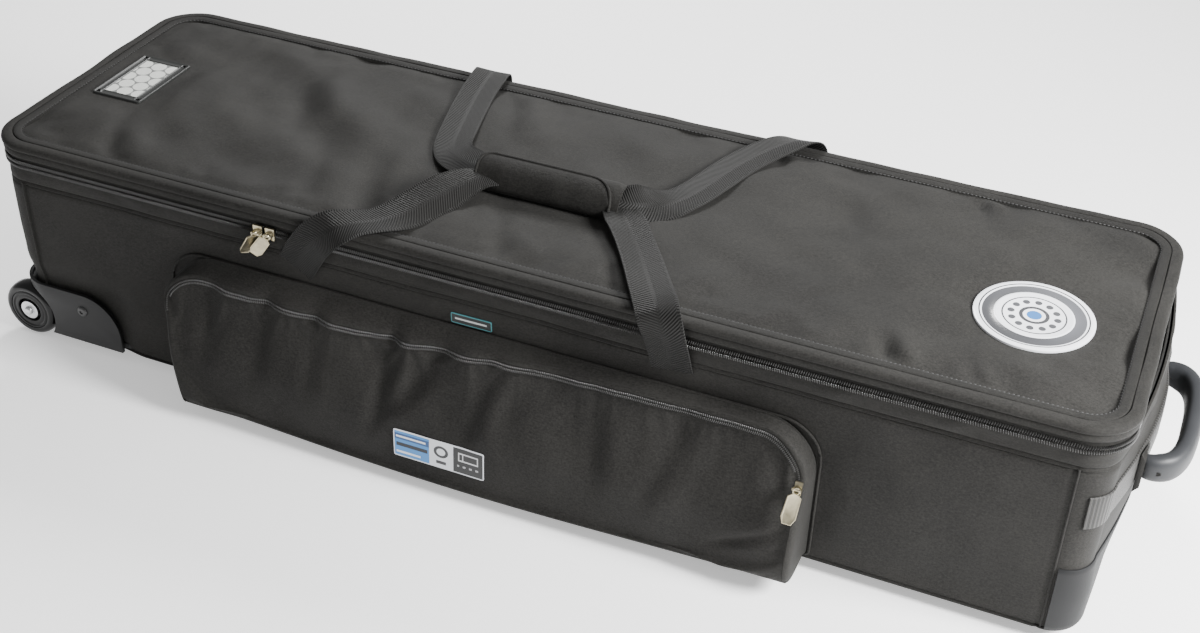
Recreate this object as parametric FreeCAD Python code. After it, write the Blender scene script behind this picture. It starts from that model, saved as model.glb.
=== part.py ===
import FreeCAD, Part
import math
import os

# A long wheeled soft case for drum hardware, lying on its base.
# Origin: on the floor under the middle of the case. X runs from the wheel end to the handle end,
# Y from the front (zipped pocket) to the rear (lid hinge), Z up. Millimetres.

# Overall case
body_length = 1180.0
body_depth = 350.0
lid_end_overhang = 7.0
lid_side_overhang = 5.0
lid_corner = 48.0
body_corner = 32.0
end_bulge = 22.0
runner_height = 14.0
body_height = 200.0
zip_band_height = 18.0
lid_height = 23.5
overrun = 1.0
parting_gap = 0.3

# Walls of the body, from the outside in
shell_wall = 3.0
base_panel_thickness = 3.0
base_board_thickness = 6.0
foam_thickness = 8.0
handle_foam_thickness = 10.0
lining_thickness = 1.2
lining_corner = 12.0
foam_drop = 2.0
seam_bead = 2.0

# Lid
border_width = 22.0
border_thickness = 3.0
lid_panel_thickness = 3.5
lid_foam_thickness = 10.0
lid_lining_thickness = 1.5
rim_bead = 3.0
low_bead = 2.5
low_bead_height = 5.5
border_drop = 17.0

# Main zip and the fabric hinge
coil_depth = 3.0
coil_height = 5.4
tape_thickness = 1.2
band_thickness = 5.0
zip_end_inset = 30.0
hinge_axis_out = 3.5
hinge_tape_end_inset = 57.0
hinge_tape_gap = 0.5

# Main zip sliders with their pulls
slider_width = 10.0
slider_height = 13.0
slider_plate = 3.0
slider_gap = 0.3
bridge_reach = 7.3
bridge_radius = 1.2
bridge_span = 9.0
post_width = 1.4
pull_eye_gap = 0.5
pull_eye_wall = 1.9
pull_eye_width = 5.0
pull_length = 34.0
pull_width = 11.0
pull_thickness = 1.8
pull_point = 5.0
left_slider_x = -259.0
right_slider_x = -245.0

# Base runners and their screws
runner_wheel_margin = 130.0
runner_handle_margin = 70.0
runner_width = 22.0
runner_spacing = 110.0
runner_chamfer = 8.0
screw_radius = 2.0
screw_head_radius = 4.0
screw_head_height = 2.5
screw_recess = 2.0
screws_per_runner = 4
screw_end_inset = 60.0

# Wheels in their corner guards
wheel_radius = 33.0
wheel_width = 22.0
wheel_lift = 1.0
wheel_inset = 4.0
wheel_face_inset = -2.0
hub_radius = 24.0
hub_dish = 3.0
hub_dish_radius = 20.0
tyre_round = 5.0
bearing_radius = 11.0
bearing_bore = 4.0
bearing_width = 7.0
bearing_inset = 1.0
running_gap = 0.05
axle_radius = 3.95
axle_head_radius = 7.0
axle_head_height = 4.0
axle_shoulder_radius = 6.0
axle_nut_radius = 7.5
axle_nut_height = 6.0
well_gap = 4.0
well_wall = 2.5
guard_thickness = 3.5
guard_length = 130.0
guard_height = 64.0
guard_return = 80.0
guard_curve = 45.0
guard_bolt_radius = 4.0
guard_bolt_head_radius = 6.5
guard_bolt_head_height = 2.5
guard_bolt_socket_radius = 2.5
guard_bolt_length = 9.0
guard_bolt_inset = 83.0
guard_bolt_height = 43.0

# Handle end: kick plate, webbing band and grab handle
kick_height = 78.0
kick_thickness = 2.6
band_webbing_width = 36.0
band_webbing_thickness = 2.0
band_webbing_rise = 146.0
band_webbing_return = 6.0
grab_drop = 5.0
grab_half_span = 77.0
grab_reach = 22.5
grab_thickness = 17.0
grab_section_height = 28.0
grab_end_height = 21.0
grab_end_taper = 10.0
grab_edge_round = 5.5
grab_socket_gap = 0.3
anchor_knuckle_radius = 4.7
anchor_knuckle_width = 17.0
anchor_neck = 11.0
anchor_web_thickness = 3.0
anchor_tab_width = 30.0
anchor_tab_height = 44.0
anchor_tab_thickness = 2.5

# Zipped pocket on the front
pocket_wheel_margin = 220.0
pocket_handle_margin = 260.0
pocket_base_margin = 6.0
pocket_top_margin = 38.0
pocket_corner = 38.0
pocket_low_corner = 8.0
pocket_lean = 24.0
pocket_top_depth = 15.0
pocket_belly = 57.0
pocket_low_depth = 39.0
pocket_belly_rise = 60.0
pocket_belly_start = 11.0
pocket_flap_height = 56.0
pocket_skin = 3.2
gusset_thickness = 2.5
backing_margin_left = 8.0
backing_margin_right = 4.0
backing_thickness = 1.5
backing_corner = 42.0
pocket_bead = 1.8
pocket_zip_inset = 5.0
pocket_coil_width = 4.0
pocket_slider_rise = 9.0
pocket_slider_width = 7.0
pocket_coil_start_gap = 3.0
label_width = 92.0
label_height = 33.0
label_x = -44.0
label_rise = 32.0
label_thickness = 0.8
tag_width = 44.0
tag_height = 12.0
tag_x = -26.0
tag_rise = 10.0
tag_thickness = 1.0

# Carrying straps and the grip that joins them
webbing_width = 42.0
webbing_thickness = 1.6
strap_foot_drop = 18.0
strap_anchor_out = 0.8
strap_rim_out = 5.8
strap_rim_start_drop = 2.0
front_strap_lift = 7.1
rear_strap_lift = 9.3
strap_fold_gap = 0.4
front_left_foot_x = -218.0
front_left_rim_x = -169.0
front_right_foot_x = 184.0
front_right_rim_x = 168.0
rear_left_foot_x = -178.0
rear_left_rim_x = -175.0
rear_right_foot_x = 203.0
rear_right_rim_x = 198.0
grip_x = -6.0
grip_y = -38.0
grip_length = 148.0
grip_width = 40.0
grip_pad_thickness = 5.6
grip_flap_height = 27.0
grip_flap_wall = 3.0
grip_flap_top = 12.0
grip_flap_drop = 4.0
grip_round = 8.0
grip_clearance = 0.5
rear_fold_left_x = -130.0
rear_fold_right_x = 106.0
rear_fold_y = -26.0

# Card holder and round badge on the lid
holder_inset = 71.0
holder_y = 2.0
holder_width = 63.0
holder_depth = 100.0
holder_rim = 4.0
holder_height = 2.0
card_thickness = 0.5
window_thickness = 0.8
holder_corner = 4.0
badge_inset = 114.0
badge_y = -34.0
badge_radius = 56.0
badge_thickness = 1.6

# Heights that follow from the sizes above
base_z = runner_height
board_z = base_z + base_panel_thickness
floor_z = board_z + base_board_thickness
wall_top = base_z + body_height
parting_z = wall_top + zip_band_height
lid_top = parting_z + lid_height
border_bottom = lid_top - border_drop
lid_skin_z = lid_top - lid_panel_thickness
lid_foam_z = lid_skin_z - lid_foam_thickness
lid_lining_z = lid_foam_z - lid_lining_thickness
foam_top = parting_z - foam_drop
lid_length = body_length + lid_end_overhang * 2
lid_depth = body_depth + lid_side_overhang * 2
half_body = body_length / 2
half_depth = body_depth / 2
half_lid = lid_length / 2
half_lid_depth = lid_depth / 2
seam_x = half_body - body_corner
hinge_y = half_lid_depth + hinge_axis_out
wheel_x = -half_body + wheel_inset
wheel_z = wheel_radius + wheel_lift
wheel_face_y = -half_depth + wheel_face_inset
wheel_back_y = wheel_face_y + wheel_width
well_radius = wheel_radius + well_gap
well_back_y = wheel_back_y + well_gap
guard_bolt_x = -half_body + guard_bolt_inset
runner_start = -half_body + runner_wheel_margin
runner_length = body_length - runner_wheel_margin - runner_handle_margin
band_webbing_height = base_z + band_webbing_rise
grab_height = band_webbing_height - grab_drop
pocket_left = -half_body + pocket_wheel_margin
pocket_right = half_body - pocket_handle_margin
pocket_bottom = base_z + pocket_base_margin
pocket_top = wall_top - pocket_top_margin
pocket_split = pocket_top - pocket_flap_height
pocket_belly_top = pocket_bottom + pocket_belly_rise
pocket_belly_bottom = pocket_bottom + pocket_belly_start
pocket_slope = (pocket_belly - pocket_top_depth) / (pocket_top - pocket_belly_top)
pocket_slider_z = pocket_split + pocket_slider_rise
pocket_coil_start = pocket_slider_z + slider_height / 2 + pocket_coil_start_gap
label_z = pocket_bottom + label_rise
tag_z = pocket_top + tag_rise
strap_anchor_z = wall_top - strap_foot_drop
strap_rim_start_z = wall_top - strap_rim_start_drop
front_strap_z = lid_top + front_strap_lift
rear_strap_z = lid_top + rear_strap_lift
holder_x = -half_lid + holder_inset
badge_x = half_lid - badge_inset

os.makedirs("parts", exist_ok=True)


def vec(x, y, z):
    return FreeCAD.Vector(x, y, z)


along_x = vec(1, 0, 0)
along_y = vec(0, 1, 0)
along_z = vec(0, 0, 1)


def box(x0, y0, z0, x1, y1, z1):
    return Part.makeBox(x1 - x0, y1 - y0, z1 - z0, vec(x0, y0, z0))


def rod(radius, start, direction, length):
    return Part.makeCylinder(radius, length, start, direction)


def flip(shape):
    """The same shape on the other side of the case's middle plane."""
    return shape.mirror(vec(0, 0, 0), along_y)


def save(name, shape):
    if isinstance(shape, (list, tuple)):
        shape = Part.makeCompound(shape)
    solids = shape.Solids
    bad = [index for index, solid in enumerate(solids) if not solid.isValid()]
    assert solids and not bad, (name, len(solids), bad)
    if len(solids) == 1:
        shape = solids[0]
    shape.exportStep("parts/" + name + ".step")
    print(name, len(solids), round(shape.Volume))


def fuse(shapes):
    whole = shapes[0].multiFuse(shapes[1:])
    return whole.removeSplitter()


def polygon(points):
    return Part.Face(Part.makePolygon(list(points) + [points[0]]))


def round_wire(place, u0, v0, u1, v1, radii, bulge=0.0):
    """Rounded rectangle; radii run low left, low right, high right, high left; bulge bows the high-u side."""
    low_left, low_right, high_right, high_left = radii
    turn = 1 - math.sqrt(0.5)
    edges = []
    corners = [
        ((u1 - low_right, v0), (u1 - low_right * turn, v0 + low_right * turn), (u1, v0 + low_right)),
        ((u1, v1 - high_right), (u1 - high_right * turn, v1 - high_right * turn), (u1 - high_right, v1)),
        ((u0 + high_left, v1), (u0 + high_left * turn, v1 - high_left * turn), (u0, v1 - high_left)),
        ((u0, v0 + low_left), (u0 + low_left * turn, v0 + low_left * turn), (u0 + low_left, v0)),
    ]
    for index, (start, middle, end) in enumerate(corners):
        before = corners[index - 1][2]
        if index == 1 and bulge:
            bow = (u1 + bulge, (v0 + v1) / 2)
            edges.append(Part.Arc(place(*before), place(*bow), place(*start)).toShape())
        else:
            edges.append(Part.LineSegment(place(*before), place(*start)).toShape())
        edges.append(Part.Arc(place(*start), place(*middle), place(*end)).toShape())
    return Part.Wire(edges)


def level(z):
    return lambda u, v: vec(u, v, z)


def upright(y):
    return lambda u, v: vec(u, y, v)


def body_wire(inset, z):
    corner = body_corner - inset
    reach = half_body - inset
    side = half_depth - inset
    return round_wire(level(z), -reach, -side, reach, side, [corner] * 4, end_bulge)


def body_prism(inset, z0, z1):
    return Part.Face(body_wire(inset, z0)).extrude(vec(0, 0, z1 - z0))


def lid_wire(inset, z):
    corner = lid_corner - inset
    return round_wire(level(z), -half_lid + inset, -half_lid_depth + inset, half_lid - inset,
                      half_lid_depth - inset, [corner] * 4)


def lid_prism(inset, z0, z1):
    return Part.Face(lid_wire(inset, z0)).extrude(vec(0, 0, z1 - z0))


def ring(prism, outer_inset, inner_inset, z0, z1):
    return prism(outer_inset, z0, z1).cut(prism(inner_inset, z0 - overrun, z1 + overrun))


def bead_on(wire, radius):
    """A round cord laid along a closed wire."""
    start = wire.Edges[0]
    point = start.valueAt(start.FirstParameter)
    tangent = start.tangentAt(start.FirstParameter)
    profile = Part.Wire([Part.makeCircle(radius, point, tangent)])
    return wire.makePipeShell([profile], True, False)


far_x = half_body + half_depth
far_y = half_depth * 2
far_z = lid_top * 2


# Wheel wells, cut through every body piece at the two wheel corners
def well_cutter():
    length = well_back_y + well_wall - (wheel_face_y - guard_thickness - overrun * 2)
    start = vec(wheel_x, wheel_face_y - guard_thickness - overrun * 2, wheel_z)
    front = rod(well_radius + well_wall, start, along_y, length)
    nut = rod(axle_nut_radius, vec(wheel_x, well_back_y, wheel_z), along_y, well_wall + axle_nut_height)
    front = fuse([front, nut])
    return fuse([front, flip(front)])


# Body shell: base, four panels and what stiffens and pads them
def base_pieces(well, screws):
    panel = body_prism(0, base_z, board_z)
    board = body_prism(shell_wall, board_z, floor_z)
    return panel.cut(well).cut(screws), board.cut(well).cut(screws)


def wall_pieces(well):
    walls = ring(body_prism, 0, shell_wall, board_z, wall_top).cut(well)
    middle = box(-seam_x, -far_y, 0, seam_x, far_y, far_z)
    sides = walls.common(middle).Solids
    sides.sort(key=lambda solid: solid.CenterOfMass.y)
    ends = walls.cut(middle).Solids
    ends.sort(key=lambda solid: solid.CenterOfMass.x)
    return sides[0], sides[1], ends[0], ends[1]


def foam_pieces(well):
    outer_y = half_depth - shell_wall
    inner_y = outer_y - foam_thickness
    end_x = half_lid - coil_depth - band_thickness
    wheel_outer = -half_body + shell_wall
    wheel_inner = wheel_outer + foam_thickness
    handle_inner = end_x - handle_foam_thickness
    room = body_prism(shell_wall, floor_z, wall_top)
    upper = lid_prism(coil_depth + band_thickness, wall_top, foam_top)
    space = fuse([room, upper]).cut(well)
    front = space.common(box(wheel_inner, -outer_y, floor_z, handle_inner, -inner_y, foam_top))
    rear = flip(front)
    wheel_end = space.common(box(wheel_outer, -outer_y, floor_z, wheel_inner, outer_y, foam_top))
    handle_end = space.common(box(handle_inner, -outer_y, floor_z, far_x, outer_y, foam_top))
    return [front, rear], wheel_end, handle_end, (wheel_inner, handle_inner, inner_y)


def lining(inside, well):
    x0, x1, y1 = inside
    thick = lining_thickness
    outer = Part.Face(round_wire(level(floor_z), x0, -y1, x1, y1, [lining_corner] * 4))
    inner = Part.Face(round_wire(level(floor_z + thick), x0 + thick, -y1 + thick, x1 - thick, y1 - thick,
                                 [lining_corner - thick] * 4))
    tray = outer.extrude(vec(0, 0, foam_top - floor_z)).cut(inner.extrude(vec(0, 0, foam_top)))
    return tray.cut(well)


def seam_piping(cutters):
    seam_z = board_z + seam_bead
    beads = [ring(body_prism, -seam_bead, 0, board_z - seam_bead, seam_z)]
    for x in (-seam_x, seam_x):
        for y in (-half_depth, half_depth):
            beads.append(rod(seam_bead, vec(x, y, seam_z), along_z, wall_top - seam_z))
    cut = []
    for bead in beads:
        for cutter in cutters:
            bead = bead.cut(cutter)
        cut += bead.Solids
    return cut


# Top of the body: bound zip band, lower half of the zip, fabric hinge
def zip_band():
    return ring(lid_prism, coil_depth, coil_depth + band_thickness, wall_top, parting_z - parting_gap)


def open_rear(shape):
    return shape.common(box(-far_x, -far_y, 0, far_x, half_lid_depth - zip_end_inset, far_z))


def lower_zip():
    top = parting_z - parting_gap
    return open_rear(ring(lid_prism, 0, coil_depth, top - coil_height, top))


def hinge_tape():
    x1 = half_lid - hinge_tape_end_inset
    y0 = half_lid_depth - coil_depth
    return box(-x1, y0, wall_top, x1, hinge_y - hinge_tape_gap, parting_z - parting_gap)


# Lid
def lid_pieces():
    band = ring(lid_prism, 0, border_thickness, border_bottom, lid_skin_z)
    border = ring(lid_prism, 0, border_width, lid_skin_z, lid_top)
    panel = lid_prism(border_width, lid_skin_z, lid_top)
    foam = lid_prism(border_thickness, lid_foam_z, lid_skin_z)
    inner = lid_prism(border_thickness, lid_lining_z, lid_foam_z)
    whole = lid_prism(0, border_bottom, lid_top)
    beads = [bead_on(lid_wire(0, lid_top), rim_bead).cut(whole),
             bead_on(lid_wire(0, border_bottom + low_bead_height), low_bead).cut(whole)]
    return band, border, panel, foam, inner, beads


def upper_zip():
    low = parting_z + parting_gap
    coil = open_rear(ring(lid_prism, 0, coil_depth, low, border_bottom))
    tape = ring(lid_prism, coil_depth, coil_depth + tape_thickness, low, lid_lining_z)
    return fuse([coil, tape])


def card_holder():
    x0 = holder_x - holder_width / 2
    x1 = holder_x + holder_width / 2
    y0 = holder_y - holder_depth / 2
    y1 = holder_y + holder_depth / 2
    radii = [holder_corner] * 4
    outer = Part.Face(round_wire(level(lid_top), x0, y0, x1, y1, radii)).extrude(vec(0, 0, holder_height))
    hole = box(x0 + holder_rim, y0 + holder_rim, lid_top, x1 - holder_rim, y1 - holder_rim,
               lid_top + holder_height + overrun)
    card = box(x0 + holder_rim, y0 + holder_rim, lid_top, x1 - holder_rim, y1 - holder_rim,
               lid_top + card_thickness)
    window = box(x0 + holder_rim, y0 + holder_rim, lid_top + card_thickness, x1 - holder_rim,
                 y1 - holder_rim, lid_top + card_thickness + window_thickness)
    return outer.cut(hole), card, window


def badge():
    return rod(badge_radius, vec(badge_x, badge_y, lid_top), along_z, badge_thickness)


# Base runners
def screw_places():
    first = runner_start + screw_end_inset
    step = (runner_length - screw_end_inset * 2) / (screws_per_runner - 1)
    rows = (-runner_spacing, 0, runner_spacing)
    return [(first + step * index, y) for y in rows for index in range(screws_per_runner)]


def runner_screws():
    screws = []
    for x, y in screw_places():
        head = rod(screw_head_radius, vec(x, y, screw_recess), along_z, screw_head_height)
        shank = rod(screw_radius, vec(x, y, screw_recess), along_z, floor_z - screw_recess)
        screws.append(fuse([head, shank]))
    return screws


def base_runners(screws):
    x0 = runner_start
    x1 = runner_start + runner_length
    runners = []
    for row in (-1, 0, 1):
        y = row * runner_spacing
        side = [vec(x0 + runner_chamfer, 0, 0), vec(x1 - runner_chamfer, 0, 0), vec(x1, 0, runner_chamfer),
                vec(x1, 0, runner_height), vec(x0, 0, runner_height), vec(x0, 0, runner_chamfer)]
        runner = polygon(side).extrude(vec(0, runner_width, 0))
        runner.translate(vec(0, y - runner_width / 2, 0))
        for (x, screw_y), screw in zip(screw_places(), screws):
            if abs(screw_y - y) < runner_width:
                recess = rod(screw_head_radius, vec(x, y, 0), along_z, screw_recess)
                runner = runner.cut(screw).cut(recess)
        runners.append(runner)
    return runners


# Wheel corners
def guard_bolt():
    y = -half_depth - guard_thickness
    z = base_z + guard_bolt_height
    head = rod(guard_bolt_head_radius, vec(guard_bolt_x, y, z), vec(0, -1, 0), guard_bolt_head_height)
    socket = rod(guard_bolt_socket_radius, vec(guard_bolt_x, y - guard_bolt_head_height, z), along_y,
                 guard_bolt_head_height / 2)
    shank = rod(guard_bolt_radius, vec(guard_bolt_x, y, z), along_y, guard_bolt_length)
    return fuse([head.cut(socket), shank])


def corner_guard(bolt, axle):
    x1 = -half_body + guard_length
    outline = round_wire(upright(-far_y), -far_x, base_z, x1, base_z + guard_height,
                         [overrun, overrun, guard_curve, overrun])
    window = Part.Face(outline).extrude(vec(0, far_y * 2, 0))
    skin = ring(body_prism, -guard_thickness, 0, base_z, base_z + guard_height).common(window)
    skin = skin.common(box(-far_x, -far_y, 0, x1, -half_depth + guard_return, far_z))
    length = well_back_y + well_wall + half_depth
    cup = rod(well_radius + well_wall, vec(wheel_x, -half_depth, wheel_z), along_y, length)
    cup = cup.common(body_prism(0, base_z, wall_top))
    guard = fuse([skin, cup])
    reach = half_depth + guard_thickness + overrun + well_back_y
    hollow = rod(well_radius, vec(wheel_x, well_back_y, wheel_z), vec(0, -1, 0), reach)
    return guard.cut(hollow).cut(bolt).cut(axle)


def axle_bolt():
    bearing_out = wheel_face_y + bearing_inset
    bearing_in = wheel_back_y - bearing_inset
    head = rod(axle_head_radius, vec(wheel_x, bearing_out, wheel_z), vec(0, -1, 0), axle_head_height)
    shank = rod(axle_radius, vec(wheel_x, bearing_out, wheel_z), along_y,
                well_back_y + well_wall + axle_nut_height - bearing_out)
    shoulder = rod(axle_shoulder_radius, vec(wheel_x, bearing_in, wheel_z), along_y, well_back_y - bearing_in)
    nut = rod(axle_nut_radius, vec(wheel_x, well_back_y + well_wall, wheel_z), along_y, axle_nut_height)
    return fuse([head, shank, shoulder, nut])


def bearings():
    pair = []
    for y in (wheel_face_y + bearing_inset, wheel_back_y - bearing_inset - bearing_width):
        outer = rod(bearing_radius, vec(wheel_x, y, wheel_z), along_y, bearing_width)
        bore = rod(bearing_bore, vec(wheel_x, y - overrun, wheel_z), along_y, bearing_width + overrun * 2)
        pair.append(outer.cut(bore))
    return pair


def wheel():
    centre = vec(wheel_x, wheel_face_y, wheel_z)
    hub = rod(hub_radius, centre, along_y, wheel_width)
    bore = rod(bearing_radius + running_gap, centre, along_y, wheel_width)
    dish = rod(hub_dish_radius, centre, along_y, hub_dish)
    tyre = rod(wheel_radius, centre, along_y, wheel_width)
    rims = [edge for edge in tyre.Edges if edge.Curve.TypeId == "Part::GeomCircle"]
    tyre = tyre.makeFillet(tyre_round, rims).cut(hub)
    return hub.cut(bore).cut(dish), tyre


# Handle end
def kick_plate():
    skin = ring(body_prism, -kick_thickness, 0, base_z, base_z + kick_height)
    return skin.common(box(seam_x + seam_bead, -far_y, 0, far_x, far_y, far_z))


def end_webbing():
    z0 = band_webbing_height - band_webbing_width / 2
    strip = ring(body_prism, -band_webbing_thickness, 0, z0, z0 + band_webbing_width)
    return strip.common(box(seam_x + band_webbing_return, -far_y, 0, far_x, far_y, far_z))


def wall_x_at(y):
    """Outer face of the bowed end panel at a place across the case."""
    chord = half_depth - body_corner
    radius = (chord * chord + end_bulge * end_bulge) / (end_bulge * 2)
    return half_body + end_bulge - radius + math.sqrt(radius * radius - y * y)


def grab_axis_x():
    return wall_x_at(grab_half_span) + band_webbing_thickness + anchor_tab_thickness + anchor_neck


def handle_anchor(side):
    y = side * grab_half_span
    inner_x = wall_x_at(grab_half_span) - shell_wall
    outer_x = wall_x_at(grab_half_span) + band_webbing_thickness + anchor_tab_thickness
    tab = box(inner_x, y - anchor_tab_width / 2, grab_height - anchor_tab_height / 2,
              outer_x, y + anchor_tab_width / 2, grab_height + anchor_tab_height / 2)
    web = box(inner_x, y - anchor_knuckle_width / 2, grab_height - anchor_web_thickness / 2,
              grab_axis_x(), y + anchor_knuckle_width / 2, grab_height + anchor_web_thickness / 2)
    knuckle_start = vec(grab_axis_x(), y - anchor_knuckle_width / 2, grab_height)
    knuckle = rod(anchor_knuckle_radius, knuckle_start, along_y, anchor_knuckle_width)
    low = body_prism(-band_webbing_thickness, base_z, wall_top)
    return fuse([tab.cut(low), web.cut(low), knuckle])


def grab_handle():
    """A moulded loop, flat in section, as an elliptic ring cut off at its hinge line."""
    axis_x = grab_axis_x()
    half = grab_thickness / 2
    rings = []
    for grow in (half, -half):
        arc = Part.Ellipse(vec(0, 0, 0), grab_half_span + grow, grab_reach + grow).toShape()
        arc.rotate(vec(0, 0, 0), along_z, 90)
        arc.translate(vec(axis_x, 0, grab_height - grab_section_height / 2))
        rings.append(Part.Face(Part.Wire([arc])).extrude(vec(0, 0, grab_section_height)))
    ring_solid = rings[0].cut(rings[1])
    long_edges = [edge for edge in ring_solid.Edges if edge.BoundBox.ZLength < overrun]
    ring_solid = ring_solid.makeFillet(grab_edge_round, long_edges)
    low = grab_end_height / 2
    high = grab_section_height / 2
    taper_x = axis_x + grab_end_taper
    side = polygon([vec(x, -far_y, grab_height + z) for x, z in (
        (axis_x, -low), (taper_x, -high), (far_x * 2, -high), (far_x * 2, high), (taper_x, high), (axis_x, low))])
    loop = ring_solid.common(side.extrude(vec(0, far_y * 2, 0)))
    socket_radius = anchor_knuckle_radius + grab_socket_gap
    socket = rod(socket_radius, vec(axis_x, -far_y, grab_height), along_y, far_y * 2)
    return loop.cut(socket)


# Zipped pocket
def pocket_face_y(z):
    """Outer place of the pocket's face above its belly, where it slopes back to the wall."""
    return -half_depth - pocket_belly + (z - pocket_belly_top) * pocket_slope


def pocket_profile(skin):
    """Side profile of the pocket without the outer skin of the given thickness."""
    back = -half_depth - backing_thickness
    belly = -half_depth - pocket_belly + skin
    outline = [(back, pocket_bottom), (back, pocket_top), (pocket_face_y(pocket_top) + skin, pocket_top),
               (belly, pocket_belly_top), (belly, pocket_belly_bottom),
               (-half_depth - pocket_low_depth + skin, pocket_bottom)]
    return polygon([vec(0, y, z) for y, z in outline])


def pocket_lean_cut(inset):
    """What lies beyond the pocket's wheel side, which leans in towards the base."""
    low_x = pocket_left + pocket_lean + inset
    face = polygon([vec(pocket_left + inset, -far_y, pocket_split), vec(-far_x, -far_y, pocket_split),
                    vec(-far_x, -far_y, 0), vec(low_x, -far_y, 0), vec(low_x, -far_y, pocket_bottom)])
    return face.extrude(vec(0, far_y, 0))


def pocket_block(skin):
    block = pocket_profile(skin).extrude(vec(pocket_right - pocket_left, 0, 0))
    block.translate(vec(pocket_left, 0, 0))
    radii = [pocket_low_corner, pocket_low_corner, pocket_corner, pocket_corner]
    outline = round_wire(upright(-far_y), pocket_left, pocket_bottom, pocket_right, pocket_top, radii)
    return block.common(Part.Face(outline).extrude(vec(0, far_y, 0))).cut(pocket_lean_cut(0))


def pocket_window(inset):
    """Everything inside the pocket's outline, drawn in by an inset."""
    corner = pocket_corner - inset
    radii = [pocket_low_corner, pocket_low_corner, corner, corner]
    outline = round_wire(upright(-far_y), pocket_left + inset, 0, pocket_right - inset,
                         pocket_top - inset, radii)
    return Part.Face(outline).extrude(vec(0, far_y, 0)).cut(pocket_lean_cut(inset))


def pocket_pieces():
    skin = pocket_block(0).cut(pocket_block(pocket_skin))
    below = box(-far_x, -far_y, 0, far_x, 0, pocket_split - parting_gap)
    above = box(-far_x, -far_y, pocket_split, far_x, 0, far_z)
    front = skin.common(below)
    upper = skin.common(above)
    coil_mid = pocket_zip_inset + pocket_coil_width
    coil_in = coil_mid + pocket_coil_width
    border = upper.cut(pocket_window(pocket_zip_inset))
    fixed_coil = upper.common(pocket_window(pocket_zip_inset)).cut(pocket_window(coil_mid))
    moving = pocket_window(coil_mid + parting_gap)
    above_slider = box(-far_x, -far_y, pocket_coil_start, far_x, 0, far_z)
    moving_coil = upper.common(moving).cut(pocket_window(coil_in)).common(above_slider)
    flap = upper.common(pocket_window(coil_in))
    room = box(-far_x, -far_y, pocket_bottom + gusset_thickness,
               far_x, -half_depth - backing_thickness + overrun, far_z)
    hollow = pocket_window(gusset_thickness).common(room)
    gusset = pocket_block(pocket_skin).cut(hollow)
    gusset = fuse([gusset, border])
    return gusset, front, fixed_coil, moving_coil, flap


def pocket_backing():
    radii = [pocket_low_corner, pocket_low_corner, backing_corner, backing_corner]
    x0 = pocket_left - backing_margin_left
    x1 = pocket_right + backing_margin_right
    wire = round_wire(upright(-half_depth), x0, pocket_bottom, x1, pocket_top, radii)
    plate = Part.Face(wire).extrude(vec(0, -backing_thickness, 0))
    inner_radii = [radius - pocket_bead for radius in radii]
    inner_wire = round_wire(upright(-half_depth), x0 + pocket_bead, pocket_bottom + pocket_bead,
                            x1 - pocket_bead, pocket_top - pocket_bead, inner_radii)
    rim = Part.Face(wire).extrude(vec(0, -backing_thickness - pocket_bead, 0))
    rim = rim.cut(Part.Face(inner_wire).extrude(vec(0, -far_y, 0)))
    cord = rim.cut(plate).cut(pocket_block(0))
    return plate, cord.Solids


def label():
    y = -half_depth - pocket_belly
    return box(label_x - label_width / 2, y - label_thickness, label_z - label_height / 2,
               label_x + label_width / 2, y, label_z + label_height / 2)


def side_tag():
    return box(tag_x - tag_width / 2, -half_depth - tag_thickness, tag_z - tag_height / 2,
               tag_x + tag_width / 2, -half_depth, tag_z + tag_height / 2)


# Sliders and pulls
def slider(x, y, z, width, height):
    """A slider plate on a front face at y, with a bridge for its pull."""
    plate = box(x - width / 2, y - slider_plate, z - height / 2, x + width / 2, y, z + height / 2)
    bar_y = y - bridge_reach
    parts = [plate]
    for side in (-1, 1):
        post_x = x + side * (bridge_span - post_width) / 2
        parts.append(box(post_x - post_width / 2, bar_y - bridge_radius, z - bridge_radius,
                         post_x + post_width / 2, y - slider_plate, z + bridge_radius))
    parts.append(rod(bridge_radius, vec(x - bridge_span / 2, bar_y, z), along_x, bridge_span))
    return fuse(parts)


def pull(x, y, z):
    """A flat tab that hangs from a slider's bridge by its eye."""
    bar_y = y - bridge_reach
    inner = bridge_radius + pull_eye_gap
    outer = inner + pull_eye_wall
    low = z - pull_length
    shoulder = z - outer * 2
    half = pull_width / 2
    neck = pull_eye_width / 2
    points = [vec(x - neck, 0, z - inner), vec(x - neck, 0, shoulder), vec(x - half, 0, shoulder - outer),
              vec(x - half, 0, low + pull_point), vec(x, 0, low), vec(x + half, 0, low + pull_point),
              vec(x + half, 0, shoulder - outer), vec(x + neck, 0, shoulder), vec(x + neck, 0, z - inner)]
    tab = polygon(points).extrude(vec(0, pull_thickness, 0))
    tab.translate(vec(0, bar_y - pull_thickness / 2, 0))
    start = vec(x - pull_eye_width / 2, bar_y, z)
    eye = rod(outer, start, along_x, pull_eye_width)
    hole = rod(inner, start, along_x, pull_eye_width)
    return fuse([eye, tab]).cut(hole)


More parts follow.
